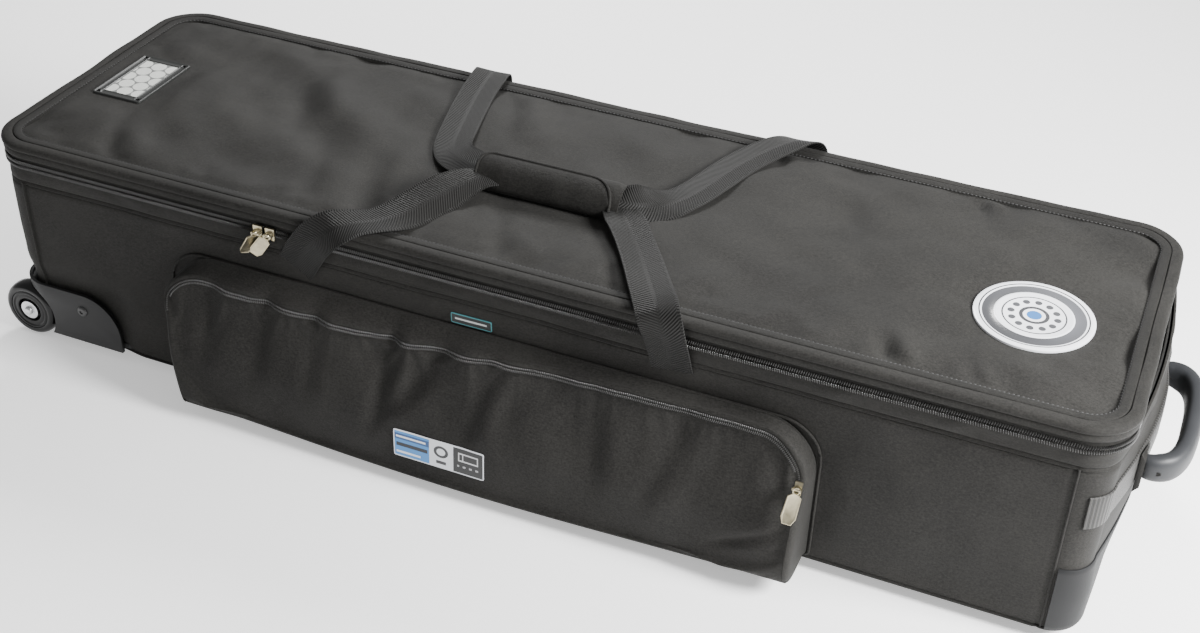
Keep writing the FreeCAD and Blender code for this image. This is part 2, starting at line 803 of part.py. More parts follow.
# Straps
def strap_leg(side, foot_x, rim_x, top_z):
    """One webbing leg from its foot on a long wall up past the rim of the lid."""
    foot_y = half_depth + strap_anchor_out
    rim_y = half_lid_depth + strap_rim_out
    outer = foot_y + webbing_thickness
    rim_outer = rim_y + webbing_thickness
    slope = (rim_x - foot_x) / (top_z - strap_anchor_z)
    half = webbing_width / 2
    profile = [vec(0, half_depth, strap_anchor_z), vec(0, outer, strap_anchor_z),
               vec(0, rim_outer, strap_rim_start_z), vec(0, rim_outer, top_z), vec(0, rim_y, top_z),
               vec(0, rim_y, strap_rim_start_z)]
    slab = polygon(profile).extrude(vec(far_x * 2, 0, 0))
    slab.translate(vec(-far_x, 0, 0))
    rise = top_z - strap_anchor_z
    face = polygon([vec(foot_x - half, 0, strap_anchor_z), vec(foot_x + half, 0, strap_anchor_z),
                    vec(foot_x + half + slope * rise, 0, top_z), vec(foot_x - half + slope * rise, 0, top_z)])
    leg = slab.common(face.extrude(vec(0, far_y, 0)))
    return leg if side > 0 else flip(leg)


def strip(points, width, z):
    """A flat webbing run along straight stretches, mitred at each turn."""
    left = []
    right = []
    for index, (x, y) in enumerate(points):
        before = points[max(index - 1, 0)]
        after = points[min(index + 1, len(points) - 1)]
        runs = [(x - before[0], y - before[1]), (after[0] - x, after[1] - y)]
        units = [(a / math.hypot(a, b), b / math.hypot(a, b)) for a, b in runs if math.hypot(a, b) > 0]
        sum_x = sum(unit[0] for unit in units)
        sum_y = sum(unit[1] for unit in units)
        size = math.hypot(sum_x, sum_y)
        across = (-sum_y / size, sum_x / size)
        cosine = abs(-across[0] * units[0][1] + across[1] * units[0][0])
        reach = width / 2 / cosine
        left.append(vec(x + across[0] * reach, y + across[1] * reach, z))
        right.append(vec(x - across[0] * reach, y - across[1] * reach, z))
    return polygon(left + right[::-1]).extrude(vec(0, 0, webbing_thickness))


def grip_room():
    """The space that the wrapped grip takes up along the straps."""
    half = grip_length / 2 + grip_clearance
    return box(grip_x - half, -far_y, 0, grip_x + half, far_y, far_z)


def front_loop():
    edge = -(half_lid_depth + strap_rim_out + webbing_thickness)
    x0 = grip_x - grip_length / 2
    x1 = grip_x + grip_length / 2
    half = webbing_width / 2
    left = strip([(front_left_rim_x, edge + half), (x0, grip_y)], webbing_width, front_strap_z)
    right = strip([(front_right_rim_x, edge + half), (x1, grip_y)], webbing_width, front_strap_z)
    inside = grip_width / 2 - grip_flap_wall - grip_clearance
    middle = box(x0 - half, grip_y - inside, front_strap_z, x1 + half, grip_y + inside,
                 front_strap_z + webbing_thickness)
    taken = grip_room()
    feet = [box(x - half, edge, front_strap_z, x + half, edge + half * 2, front_strap_z + webbing_thickness)
            for x in (front_left_rim_x, front_right_rim_x)]
    return fuse([left.cut(taken), right.cut(taken), middle] + feet)


def rear_loop():
    edge = half_lid_depth + strap_rim_out + webbing_thickness
    half = webbing_width / 2
    runs = []
    for rim_x, fold_x in ((rear_left_rim_x, rear_fold_left_x), (rear_right_rim_x, rear_fold_right_x)):
        run = strip([(rim_x, edge - half), (fold_x, rear_fold_y)], webbing_width, rear_strap_z)
        runs.append(run.cut(grip_room()))
        runs.append(box(rim_x - half, edge - half * 2, rear_strap_z, rim_x + half, edge,
                        rear_strap_z + webbing_thickness))
    inside = grip_width / 2 - grip_flap_wall - grip_clearance
    runs.append(box(rear_fold_left_x, grip_y - inside, rear_strap_z, rear_fold_right_x, grip_y + inside,
                    rear_strap_z + webbing_thickness))
    return fuse(runs)


def grip_pad():
    x0 = grip_x - grip_length / 2
    x1 = grip_x + grip_length / 2
    inset = grip_flap_wall + grip_clearance
    pad = box(x0, grip_y - grip_width / 2 + inset, front_strap_z - grip_pad_thickness, x1,
              grip_y + grip_width / 2 - inset, front_strap_z)
    return pad


def grip_flap():
    x0 = grip_x - grip_length / 2
    x1 = grip_x + grip_length / 2
    y0 = grip_y - grip_width / 2
    y1 = grip_y + grip_width / 2
    z0 = front_strap_z - grip_flap_drop
    z1 = z0 + grip_flap_height
    outline = round_wire(lambda u, v: vec(x0, u, v), y0, z0, y1, z1,
                         [overrun, overrun, grip_round, grip_round])
    outer = Part.Face(outline).extrude(vec(x1 - x0, 0, 0))
    hollow = box(x0 - overrun, y0 + grip_flap_wall, z0 - overrun, x1 + overrun, y1 - grip_flap_wall,
                 z1 - grip_flap_top)
    return outer.cut(hollow)


def build():
    well = well_cutter()
    screws = runner_screws()
    screw_group = Part.makeCompound(screws)
    base_panel, base_board = base_pieces(well, screw_group)
    front_panel, rear_panel, wheel_end, handle_end = wall_pieces(well)
    foam_sides, foam_wheel_end, foam_handle_end, inside = foam_pieces(well)
    bolt = guard_bolt()
    axle = axle_bolt()
    guard = corner_guard(bolt, axle)
    kick = kick_plate()
    bolts = Part.makeCompound([bolt, flip(bolt)])
    axles = Part.makeCompound([axle, flip(axle)])
    backing, backing_cord = pocket_backing()

    save("base_panel", base_panel)
    save("base_board", base_board)
    save("front_panel", front_panel.cut(bolts))
    save("rear_panel", rear_panel.cut(bolts))
    save("wheel_end_panel", wheel_end)
    save("handle_end_panel", handle_end)
    save("foam_sides", [foam.cut(bolts) for foam in foam_sides])
    save("foam_wheel_end", foam_wheel_end)
    save("foam_handle_end", foam_handle_end)
    save("lining", lining(inside, well).cut(axles))
    save("zip_band", zip_band())
    save("lower_zip", lower_zip())
    save("hinge_tape", hinge_tape())
    block = body_prism(0, base_z, wall_top)
    webbing = end_webbing()
    save("seam_piping", seam_piping([block, well, guard, flip(guard), kick]) + backing_cord)
    save("base_runners", base_runners(screws))
    save("runner_screws", screws)
    save("corner_guard_front", guard)
    save("corner_guard_rear", flip(guard))
    save("guard_bolts", [bolt, flip(bolt)])
    save("axle_bolts", [axle, flip(axle)])
    pair = bearings()
    save("wheel_bearings", pair + [flip(bearing) for bearing in pair])
    hub, tyre = wheel()
    save("wheel_hub_front", hub)
    save("wheel_tyre_front", tyre)
    save("wheel_hub_rear", flip(hub))
    save("wheel_tyre_rear", flip(tyre))
    save("kick_plate", kick)
    save("end_webbing", webbing)
    save("handle_anchors", [handle_anchor(-1), handle_anchor(1)])
    save("grab_handle", grab_handle())

    gusset, pocket_front, fixed_coil, moving_coil, flap = pocket_pieces()
    save("pocket_backing", backing)
    save("pocket_gusset", gusset)
    save("pocket_front", pocket_front)
    save("pocket_zip_fixed", fixed_coil)
    save("pocket_zip_moving", moving_coil)
    save("pocket_flap", flap)
    save("label_patch", label())
    save("side_tag", side_tag())

    band, border, panel, lid_foam, lid_lining, beads = lid_pieces()
    save("lid_band", band)
    save("lid_border", border)
    save("lid_panel", panel)
    save("lid_foam", lid_foam)
    save("lid_lining", lid_lining)
    save("lid_piping", beads)
    save("upper_zip", upper_zip())
    frame, card, window = card_holder()
    save("card_frame", frame)
    save("card", card)
    save("card_window", window)
    save("badge", badge())

    zip_y = -half_lid_depth - slider_gap
    for name, x in (("left", left_slider_x), ("right", right_slider_x)):
        save(name + "_slider", slider(x, zip_y, parting_z, slider_width, slider_height))
        save(name + "_pull", pull(x, zip_y, parting_z))
    pocket_y = pocket_face_y(pocket_slider_z)
    pocket_x = pocket_right - pocket_zip_inset - pocket_coil_width + pocket_slider_width / 2
    pieces = (("slider", slider(pocket_x, pocket_y - slider_gap, pocket_slider_z, pocket_slider_width, slider_height)),
              ("pull", pull(pocket_x, pocket_y - slider_gap, pocket_slider_z)))
    for name, piece in pieces:
        piece.rotate(vec(0, pocket_y, pocket_slider_z), along_x, -math.degrees(math.atan(pocket_slope)))
        save("pocket_" + name, piece)

    front_top = front_strap_z - strap_fold_gap
    rear_top = rear_strap_z - strap_fold_gap
    save("front_strap_legs", [strap_leg(-1, front_left_foot_x, front_left_rim_x, front_top),
                              strap_leg(-1, front_right_foot_x, front_right_rim_x, front_top)])
    save("rear_strap_legs", [strap_leg(1, rear_left_foot_x, rear_left_rim_x, rear_top),
                             strap_leg(1, rear_right_foot_x, rear_right_rim_x, rear_top)])
    save("front_strap_loop", front_loop())
    save("rear_strap_loop", rear_loop())
    save("grip_pad", grip_pad())
    save("grip_flap", grip_flap())


build()
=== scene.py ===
import math

import bmesh
import bpy
from mathutils import Matrix, Vector, noise
from mathutils.bvhtree import BVHTree


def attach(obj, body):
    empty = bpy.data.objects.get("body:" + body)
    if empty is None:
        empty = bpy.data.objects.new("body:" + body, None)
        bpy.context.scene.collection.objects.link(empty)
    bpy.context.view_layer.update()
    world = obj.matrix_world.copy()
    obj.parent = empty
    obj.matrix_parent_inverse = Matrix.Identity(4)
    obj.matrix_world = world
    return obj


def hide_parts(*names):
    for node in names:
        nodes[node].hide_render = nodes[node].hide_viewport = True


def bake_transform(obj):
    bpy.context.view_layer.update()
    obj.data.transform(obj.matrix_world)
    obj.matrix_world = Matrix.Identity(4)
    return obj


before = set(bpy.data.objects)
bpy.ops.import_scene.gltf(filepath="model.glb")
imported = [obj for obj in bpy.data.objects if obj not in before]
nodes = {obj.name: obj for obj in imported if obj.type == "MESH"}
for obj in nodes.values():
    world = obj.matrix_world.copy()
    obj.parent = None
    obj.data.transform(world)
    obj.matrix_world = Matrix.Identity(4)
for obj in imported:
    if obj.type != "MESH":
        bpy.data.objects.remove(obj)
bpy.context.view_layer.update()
scene = bpy.context.scene

# Overall sizes in metres, as the frame has them
case = {
    "bodyX": 0.590, "bodyY": 0.175, "bodyCorner": 0.032, "endBulge": 0.022, "seamX": 0.558,
    "lidX": 0.597, "lidY": 0.180, "lidCorner": 0.048, "tapeSeam": 0.2095, "lidTop": 0.2555, "hingeY": 0.1835,
}


# Small maths
def ease(a, b, t):
    t = min(max((t - a) / (b - a), 0.0), 1.0)
    return t * t * (3 - 2 * t)


def mix(a, b, t):
    return a + (b - a) * t


def hump(t, centre, width):
    return math.exp(-((t - centre) / width) ** 2)


def lumps(x, y, z, size, seed=0):
    return noise.noise(Vector((x / size + seed * 7.3, y / size + seed * 3.1, z / size - seed * 5.7)))


def smoothLine(points, step):
    # a smooth curve through the points, in even steps
    ends = [points[0] * 2 - points[1]] + points + [points[-1] * 2 - points[-2]]
    fine = []
    for a, b, c, d in zip(ends, ends[1:], ends[2:], ends[3:]):
        for k in range(24):
            t = k / 24
            fine.append((b * 2 + (c - a) * t + (a * 2 - b * 5 + c * 4 - d) * t * t
                         + (b * 3 - a - c * 3 + d) * t * t * t) / 2)
    fine.append(points[-1])
    places = cumulate(fine)
    count = max(2, round(places[-1] / step))
    line, k = [], 0
    for i in range(count + 1):
        goal = places[-1] * i / count
        while k < len(fine) - 2 and places[k + 1] < goal:
            k += 1
        line.append(fine[k].lerp(fine[k + 1], (goal - places[k]) / max(places[k + 1] - places[k], 1e-9)))
    return line


def cumulate(points, closed=False):
    total, places = 0.0, [0.0]
    for i in range(1, len(points) + (1 if closed else 0)):
        total += (Vector(points[i % len(points)]) - Vector(points[i - 1])).length
        places.append(total)
    return places


# Meshes
def newObject(name, mesh):
    obj = bpy.data.objects.new(name, mesh)
    scene.collection.objects.link(obj)
    return obj


def gridObject(name, rows, wrap=False, tube=False, capEnds=False, outward=None, across=None, along=None):
    # rows run along the piece and each row runs across it; the UV map is in metres, across and along
    n, m = len(rows), len(rows[0])
    along = along or cumulate([row[0] for row in rows], wrap)
    across = across or cumulate(rows[n // 2], tube)
    faces, uvs = [], []
    for i in range(n if wrap else n - 1):
        for j in range(m if tube else m - 1):
            i2, j2 = (i + 1) % n, (j + 1) % m
            faces.append((i * m + j, i2 * m + j, i2 * m + j2, i * m + j2))
            uvs += [(across[j], along[i]), (across[j], along[i + 1]), (across[j + 1], along[i + 1]),
                    (across[j + 1], along[i])]
    if capEnds:
        for i in (0, n - 1):
            faces.append(tuple(i * m + j for j in range(m)))
            uvs += [(across[j], along[i]) for j in range(m)]
    mesh = bpy.data.meshes.new(name)
    mesh.from_pydata([point for row in rows for point in row], [], faces)
    layer = mesh.uv_layers.new(name="UVMap")
    layer.data.foreach_set("uv", [value for uv in uvs for value in uv])
    mesh.update()
    if tube:
        faceOut(mesh)
    elif outward and sum(outward(p.center).dot(p.normal) for p in mesh.polygons) < 0:
        mesh.flip_normals()
    return newObject(name, mesh)


def faceOut(mesh, merge=0.0):
    work = bmesh.new()
    work.from_mesh(mesh)
    if merge:
        bmesh.ops.remove_doubles(work, verts=work.verts, dist=merge)
    bmesh.ops.recalc_face_normals(work, faces=work.faces)
    work.to_mesh(mesh)
    work.free()


def join(name, objects):
    work = bmesh.new()
    for obj in objects:
        work.from_mesh(obj.data)
        bpy.data.objects.remove(obj)
    mesh = bpy.data.meshes.new(name)
    work.to_mesh(mesh)
    work.free()
    return newObject(name, mesh)


def bake(obj):
    mesh = bpy.data.meshes.new_from_object(obj.evaluated_get(bpy.context.evaluated_depsgraph_get()))
    obj.modifiers.clear()
    obj.data = mesh
    return obj


def thicken(obj, thickness, offset=-1.0):
    wall = obj.modifiers.new("wall", "SOLIDIFY")
    wall.thickness, wall.offset = thickness, offset
    return bake(obj)


def rounded(obj, width):
    edge = obj.modifiers.new("edges", "BEVEL")
    edge.width, edge.segments, edge.limit_method = width, 2, "ANGLE"
    edge.angle_limit = math.radians(35)
    return bake(obj)


def solidCopy(name, node):
    # a merged copy of a CAD node's mesh, to finish its edges
    mesh = nodes[node].data.copy()
    mesh.name = name
    faceOut(mesh, 1e-5)
    return newObject(name, mesh)


def dropFaces(obj, test):
    work = bmesh.new()
    work.from_mesh(obj.data)
    bmesh.ops.delete(work, geom=[f for f in work.faces if test(f.calc_center_median())], context="FACES")
    work.to_mesh(obj.data)
    work.free()
    return obj


def finish(obj, material, body, slot, *replaced):
    obj.data.materials.clear()
    obj.data.materials.append(material)
    obj.data.polygons.foreach_set("material_index", [0] * len(obj.data.polygons))
    obj.data.polygons.foreach_set("use_smooth", [True] * len(obj.data.polygons))
    obj.data.set_sharp_from_angle(angle=math.radians(40))
    if body:
        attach(obj, body)
    if replaced:
        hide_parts(*replaced)
    return obj


def ringPath(halfX, halfY, corner, counts, lowCorner=None):
    # rounded rectangle from its high middle, counter-clockwise: two places and the way out
    longCount, endCount, cornerCount = counts
    low = lowCorner or corner
    runs = [(0, halfY, corner - halfX, halfY, longCount // 2, corner),
            (-halfX, halfY - corner, -halfX, low - halfY, endCount, low),
            (low - halfX, -halfY, halfX - low, -halfY, longCount, low),
            (halfX, low - halfY, halfX, halfY - corner, endCount, corner),
            (halfX - corner, halfY, 0, halfY, longCount // 2, 0)]
    points = []
    for k, (x0, y0, x1, y1, count, turn) in enumerate(runs):
        out = Vector((y1 - y0, x0 - x1)).normalized()
        points += [(mix(x0, x1, i / count), mix(y0, y1, i / count), out.x, out.y) for i in range(count)]
        if turn:
            cx, cy = x1 - out.x * turn, y1 - out.y * turn
            for i in range(cornerCount):
                a = math.pi / 2 * (k + 1 + i / cornerCount)
                points.append((cx + turn * math.cos(a), cy + turn * math.sin(a), math.cos(a), math.sin(a)))
    return points


def roundGrid(halfX, halfY, corner, nx, ny, lowCorner=None):
    # places that fill a rounded rectangle, the grid's corners drawn in to arcs
    rows = []
    for i in range(nx + 1):
        row = []
        for j in range(ny + 1):
            x, y = mix(-halfX, halfX, i / nx), mix(-halfY, halfY, j / ny)
            turn = corner if y > 0 or not lowCorner else lowCorner
            a, b = (abs(x) - halfX + turn) / turn, (abs(y) - halfY + turn) / turn
            if a > 0 and b > 0:
                x = math.copysign(halfX - turn + turn * a * math.sqrt(1 - b * b / 2), x)
                y = math.copysign(halfY - turn + turn * b * math.sqrt(1 - a * a / 2), y)
            row.append((x, y))
        rows.append(row)
    return rows


def laidOver(columns, place):
    # the places of a grid, each made a point by the function given
    return [[place(a, b) for a, b in column] for column in columns]


def facing(*way):
    return lambda centre: Vector(way)


def cord(name, points, radius, closed=False):
    rows, count, sides = [], len(points), 8
    for i, point in enumerate(points):
        before = points[i - 1] if (closed or i) else point
        after = points[(i + 1) % count] if (closed or i < count - 1) else point
        run = (Vector(after) - Vector(before)).normalized()
        side = run.cross(Vector((0, 0, 1)))
        if side.length < 0.3:
            side = run.cross(Vector((0, 1, 0)))
        side.normalize()
        lift = side.cross(run)
        rows.append([Vector(point) + (side * math.cos(a) + lift * math.sin(a)) * radius
                     for a in (2 * math.pi * k / sides for k in range(sides))])
    return gridObject(name, rows, wrap=closed, tube=True, capEnds=not closed)


# Shader maths: a wire is one output of a shader node, and sums with wires add the nodes that they need
class Wire:
    def __init__(self, paint, socket):
        self.paint, self.socket = paint, socket

    def maths(self, kind, *others):
        return self.paint.node("ShaderNodeMath", {"operation": kind}, self, *others)

    def __rsub__(self, other):
        return self.paint.node("ShaderNodeMath", {"operation": "SUBTRACT"}, other, self)

    def between(self, low, high):
        # 0 at the low value and 1 at the high one, with soft ends
        return self.paint.node("ShaderNodeMapRange", {"interpolation_type": "SMOOTHSTEP"}, self, low, high,
                               0.0, 1.0)


def wireMethod(kind):
    return lambda wire, *others: wire.maths(kind, *others)


wireMaths = {
    "__add__": "ADD", "__radd__": "ADD", "__mul__": "MULTIPLY", "__rmul__": "MULTIPLY", "__sub__": "SUBTRACT",
    "__truediv__": "DIVIDE", "__pow__": "POWER", "sine": "SINE", "size": "ABSOLUTE", "fraction": "FRACT",
    "over": "GREATER_THAN", "under": "LESS_THAN", "least": "MINIMUM",
}
for method, kind in wireMaths.items():
    setattr(Wire, method, wireMethod(kind))


class Paint:
    def __init__(self, name, **fixed):
        self.material = bpy.data.materials.new(name)
        self.material.use_nodes = True
        self.tree = self.material.node_tree
        self.shader = self.tree.nodes["Principled BSDF"]
        for socket, value in fixed.items():
            self.shader.inputs[socket.replace("_", " ")].default_value = value

    def node(self, kind, settings, *values, output=0, **named):
        made = self.tree.nodes.new(kind)
        for key, value in settings.items():
            setattr(made, key, value)
        for key, value in [*enumerate(values), *named.items()]:
            socket = made.inputs[key]
            if isinstance(value, Wire):
                self.tree.links.new(value.socket, socket)
            elif value is not None:
                socket.default_value = (*value, 1.0) if socket.type == "RGBA" else value
        return Wire(self, made.outputs[output])

    def places(self, kind="Object"):
        return self.node("ShaderNodeTexCoord", {}, output=kind)

    def parts(self, vector):
        return [self.node("ShaderNodeSeparateXYZ", {}, vector, output=k) for k in range(3)]

    def stretch(self, vector, *factors):
        return self.node("ShaderNodeVectorMath", {"operation": "MULTIPLY"}, vector, factors)

    def speckle(self, vector, scale, detail=3.0):
        return self.node("ShaderNodeTexNoise", {}, vector, None, scale, detail)

    def blend(self, share, first, second):
        return self.node("ShaderNodeMix", {"data_type": "RGBA"}, share, None, None, None, None, None,
                         first, second, output=2)

    def bump(self, height, distance, strength):
        return self.node("ShaderNodeBump", {}, Strength=strength, Distance=distance, Height=height)

    def wear(self, **links):
        for socket, wire in links.items():
            self.tree.links.new(wire.socket, self.shader.inputs[socket.replace("_", " ")])
        return self.material


def shade(colour, factor):
    return tuple(part * factor for part in colour)


# Woven cloth: yarn in two directions, slubs, a speckle of paler threads and patches where it has rubbed
def wovenCloth(name, colour, pitch=0.0011, roughness=0.66):
    paint = Paint(name, Specular_IOR_Level=0.09, Sheen_Weight=0.02, Sheen_Roughness=0.6)
    places = paint.places()
    x, y, z = paint.parts(places)
    turn = 2 * math.pi / pitch
    weft, warp = ((x + z * 0.35) * turn).sine(), ((y + z) * turn).sine()
    weave = weft * warp * 0.5 + 0.5
    slubs = paint.speckle(paint.stretch(places, 260, 900, 900), 1.0, 2.0)
    patches = paint.speckle(places, 9.0, 4.0)
    grain = paint.speckle(places, 520.0, 3.0)
    tone = (weave * 0.24 + slubs * 0.55 + patches * 0.70 + grain * 0.85 - 0.68).between(0.0, 1.0)
    skin = paint.blend(tone, shade(colour, 0.42), shade(colour, 1.70))
    gloss = patches * 0.16 + grain * 0.16 + (roughness - 0.16)
    height = weave * 0.45 + slubs * 0.4 + grain * 0.5
    return paint.wear(Base_Color=skin, Roughness=gloss, Normal=paint.bump(height, 0.0003, 0.9))


# Floor, lights and camera
view = {"lens": 49.6, "azimuth": 21.96, "elevation": 35.27, "roll": 1.85, "place": (0.5802, -1.3435, 1.1245)}
studio = {"floor": (0.93, 0.93, 0.93), "floorSize": 12.0, "world": (1.0, 1.0, 1.0), "worldStrength": 0.47,
          "floorGlow": 0.50}


def makeStudio():
    az, el, roll = (math.radians(view[key]) for key in ("azimuth", "elevation", "roll"))
    back = Vector((math.sin(az) * math.cos(el), -math.cos(az) * math.cos(el), math.sin(el)))
    level = Vector((math.cos(az), math.sin(az), 0.0))
    right = level * math.cos(roll) + back.cross(level) * math.sin(roll)
    up = back.cross(right)
    camera = bpy.data.objects.new("camera", bpy.data.cameras.new("camera"))
    camera.data.lens, camera.data.sensor_width = view["lens"], 36.0
    camera.data.clip_end = 40.0
    camera.matrix_world = Matrix.Translation(view["place"]) @ Matrix((right, up, back)).transposed().to_4x4()
    scene.collection.objects.link(camera)
    scene.camera = camera

    half = studio["floorSize"] / 2
    corners = [Vector((x, y, 0.0)) for x, y in ((-half, -half), (half, -half), (half, half), (-half, half))]
    mesh = bpy.data.meshes.new("floor")
    mesh.from_pydata(corners, [], [(0, 1, 2, 3)])
    floor = newObject("floor", mesh)
    paint = Paint("floorPaper", Roughness=0.85, Emission_Strength=studio["floorGlow"],
                  Emission_Color=(*studio["world"], 1.0))
    skin = paint.blend(paint.speckle(paint.places(), 3.0), studio["floor"], shade(studio["floor"], 1.02))
    floor.data.materials.append(paint.wear(Base_Color=skin))

    world = bpy.data.worlds.new("studio")
    world.use_nodes = True
    world.node_tree.nodes["Background"].inputs[0].default_value = (*studio["world"], 1.0)
    world.node_tree.nodes["Background"].inputs[1].default_value = studio["worldStrength"]
    scene.world = world
    lamps = {
        "keyLight": ((1.42, -0.26, 1.00), (0.35, 0.0, 0.25), 0.6, 92.0),
        "topLight": ((-0.6, 1.5, 1.7), (0.0, 0.0, 0.2), 0.8, 60.0),
    }
    for name, (place, aim, size, power) in lamps.items():
        lamp = bpy.data.lights.new(name, "AREA")
        lamp.shape, lamp.size, lamp.energy = "DISK", size, power
        obj = bpy.data.objects.new(name, lamp)
        obj.location = place
        obj.rotation_euler = (Vector(aim) - Vector(place)).to_track_quat("-Z", "Y").to_euler()
        scene.collection.objects.link(obj)


makeStudio()
print("studio ready")

# Materials
cloth = {"case": (0.0166, 0.0160, 0.0147), "lining": (0.020, 0.020, 0.021)}
caseCloth = wovenCloth("caseCloth", cloth["case"])
edgeCloth = wovenCloth("edgeCloth", shade(cloth["case"], 0.80), pitch=0.0009, roughness=0.6)
liningCloth = wovenCloth("liningCloth", cloth["lining"], pitch=0.0016, roughness=0.5)

# Body: four sewn walls round the corners, with the zip's tape zone above a seam
wall = {
    "bottomTurn": ((-0.0100, 0.0140), (-0.0050, 0.0141), (-0.0020, 0.0146), (-0.0006, 0.0162), (0.0, 0.0190)),
    "topTurn": (-0.0008, -0.0022), "levels": 46, "tapeTop": 0.2312, "bandInset": 0.003, "tuck": 0.0050,
    "softness": 0.0024, "grooveDepth": 0.0013, "ridge": 0.0010, "pucker": 0.0024, "cornerDip": 0.0016,
    "thickness": 0.0024, "piping": 0.0012, "basePiping": 0.0015, "fineSoftness": 0.0011, "pressedIn": 0.0012,
    "fadeTop": 0.2315, "tuckTop": 0.112, "tuckFull": 0.082, "tuckStart": -0.43, "tuckEnd": -0.47,
}
ringCounts = (300, 84, 14)
bodyRing = ringPath(case["bodyX"], case["bodyY"], case["bodyCorner"], ringCounts)
bandRing = ringPath(case["lidX"] - wall["bandInset"], case["lidY"] - wall["bandInset"],
                    case["lidCorner"] - wall["bandInset"], ringCounts)
pocket = {
    "left": -0.370, "right": 0.330, "bottom": 0.020, "top": 0.176, "backLeft": -0.378, "backRight": 0.334,
    "margin": 0.03,
}
wheelPlace = {"x": -0.586, "z": 0.034, "well": 0.0402, "back": 0.1475}


def bowedEnd(y):
    chord = case["bodyY"] - case["bodyCorner"]
    radius = (chord * chord + case["endBulge"] ** 2) / (case["endBulge"] * 2)
    return math.sqrt(radius * radius - y * y) - radius + case["endBulge"] if abs(y) < chord else 0.0


def bowShare(z):
    return mix(0.22, 1.0, ease(0.035, 0.138, z)) * mix(1.0, 0.55, ease(0.165, 0.235, z))


def wallPush(x, y, nx, ny, z):
    # how far the cloth stands out: soft waves, quieter behind the pocket, and the dips beside its seams
    soft = wall["softness"] * lumps(x, y * 1.7, z, 0.13, 1) + wall["fineSoftness"] * lumps(x, y, z, 0.042, 2)
    left, right, margin = pocket["backLeft"], pocket["backRight"], pocket["margin"]
    behind = ease(left - margin, left, x) * ease(right + margin, right, x)
    behind *= ease(pocket["top"] + margin, pocket["top"], z) * ease(0.0, -0.6, ny)
    soft = mix(soft, -wall["pressedIn"] + soft * 0.3, behind)
    upper = ease(case["tapeSeam"], case["tapeSeam"] + 0.006, z) * ease(wall["fadeTop"], 0.227, z)
    push = soft * ease(0.014, 0.04, z) * ease(wall["fadeTop"], 0.200, z)
    push += wall["pucker"] * upper * lumps(x, y, z * 1.6, 0.028, 4)
    push -= wall["grooveDepth"] * hump(z, case["tapeSeam"], 0.0012)
    push -= wall["ridge"] * hump(z, case["tapeSeam"] - 0.0045, 0.0007)
    push -= (wall["tuck"] * ease(wall["tuckTop"], wall["tuckFull"], z)
             * ease(wall["tuckStart"], wall["tuckEnd"], x))
    push -= (wall["cornerDip"] * hump(abs(x), case["seamX"] - 0.0026, 0.0016) * ease(0.212, 0.206, z)
             * ease(0.3, 0.7, abs(ny)))
    return push


def bodyPoint(k, z, out=0.0):
    # a place on the wall's cloth: the body's outline low down, the wider band under the lid higher up
    k %= len(bodyRing)
    shift = ease(0.206, 0.224, z)
    x, y, nx, ny = (mix(a, b, shift) for a, b in zip(bodyRing[k], bandRing[k]))
    push = wallPush(x, y, nx, ny, z) + out
    if x > case["seamX"] and nx > 0.0:
        x += bowedEnd(y) * bowShare(z)
    return Vector((x + nx * push, y + ny * push, z))


def wallLevels():
    low, high = wall["bottomTurn"][-1][1], wall["tapeTop"]
    plain = [mix(low, high, k / wall["levels"]) for k in range(1, wall["levels"] + 1)]
    fine = [case["tapeSeam"] + k * 0.0011 for k in (-5, -4, -3, -1, 0, 1)]
    kept = [z for z in plain if all(abs(z - f) > 0.0009 for f in fine)]
    return sorted({round(z, 5) for z in kept + fine})


def seamIndex(x, y):
    return min(range(len(bodyRing)), key=lambda k: abs(bodyRing[k][0] - x) + abs(bodyRing[k][1] - y) * 2)


def wallPanel(name, start, stop, *replaced):
    rows = []
    levels = wallLevels()
    for k in range(start, stop + 1):
        row = [bodyPoint(k, z, out) for out, z in wall["bottomTurn"]]
        row += [bodyPoint(k, z) for z in levels]
        row += [bodyPoint(k, wall["tapeTop"] + 0.0004, out) for out in wall["topTurn"]]
        rows.append(row)
    panel = gridObject(name, rows,
                       outward=lambda c: Vector((c.x * 0.3 if abs(c.x) < 0.55 else c.x, c.y * 3, 0)))
    dropFaces(panel, inWell)
    thicken(panel, wall["thickness"])
    return finish(panel, caseCloth, "root", "shell_fabric", *replaced)


def inWell(c):
    near = math.hypot(c.x - wheelPlace["x"], c.z - wheelPlace["z"]) < wheelPlace["well"]
    return near and abs(c.y) > wheelPlace["back"]


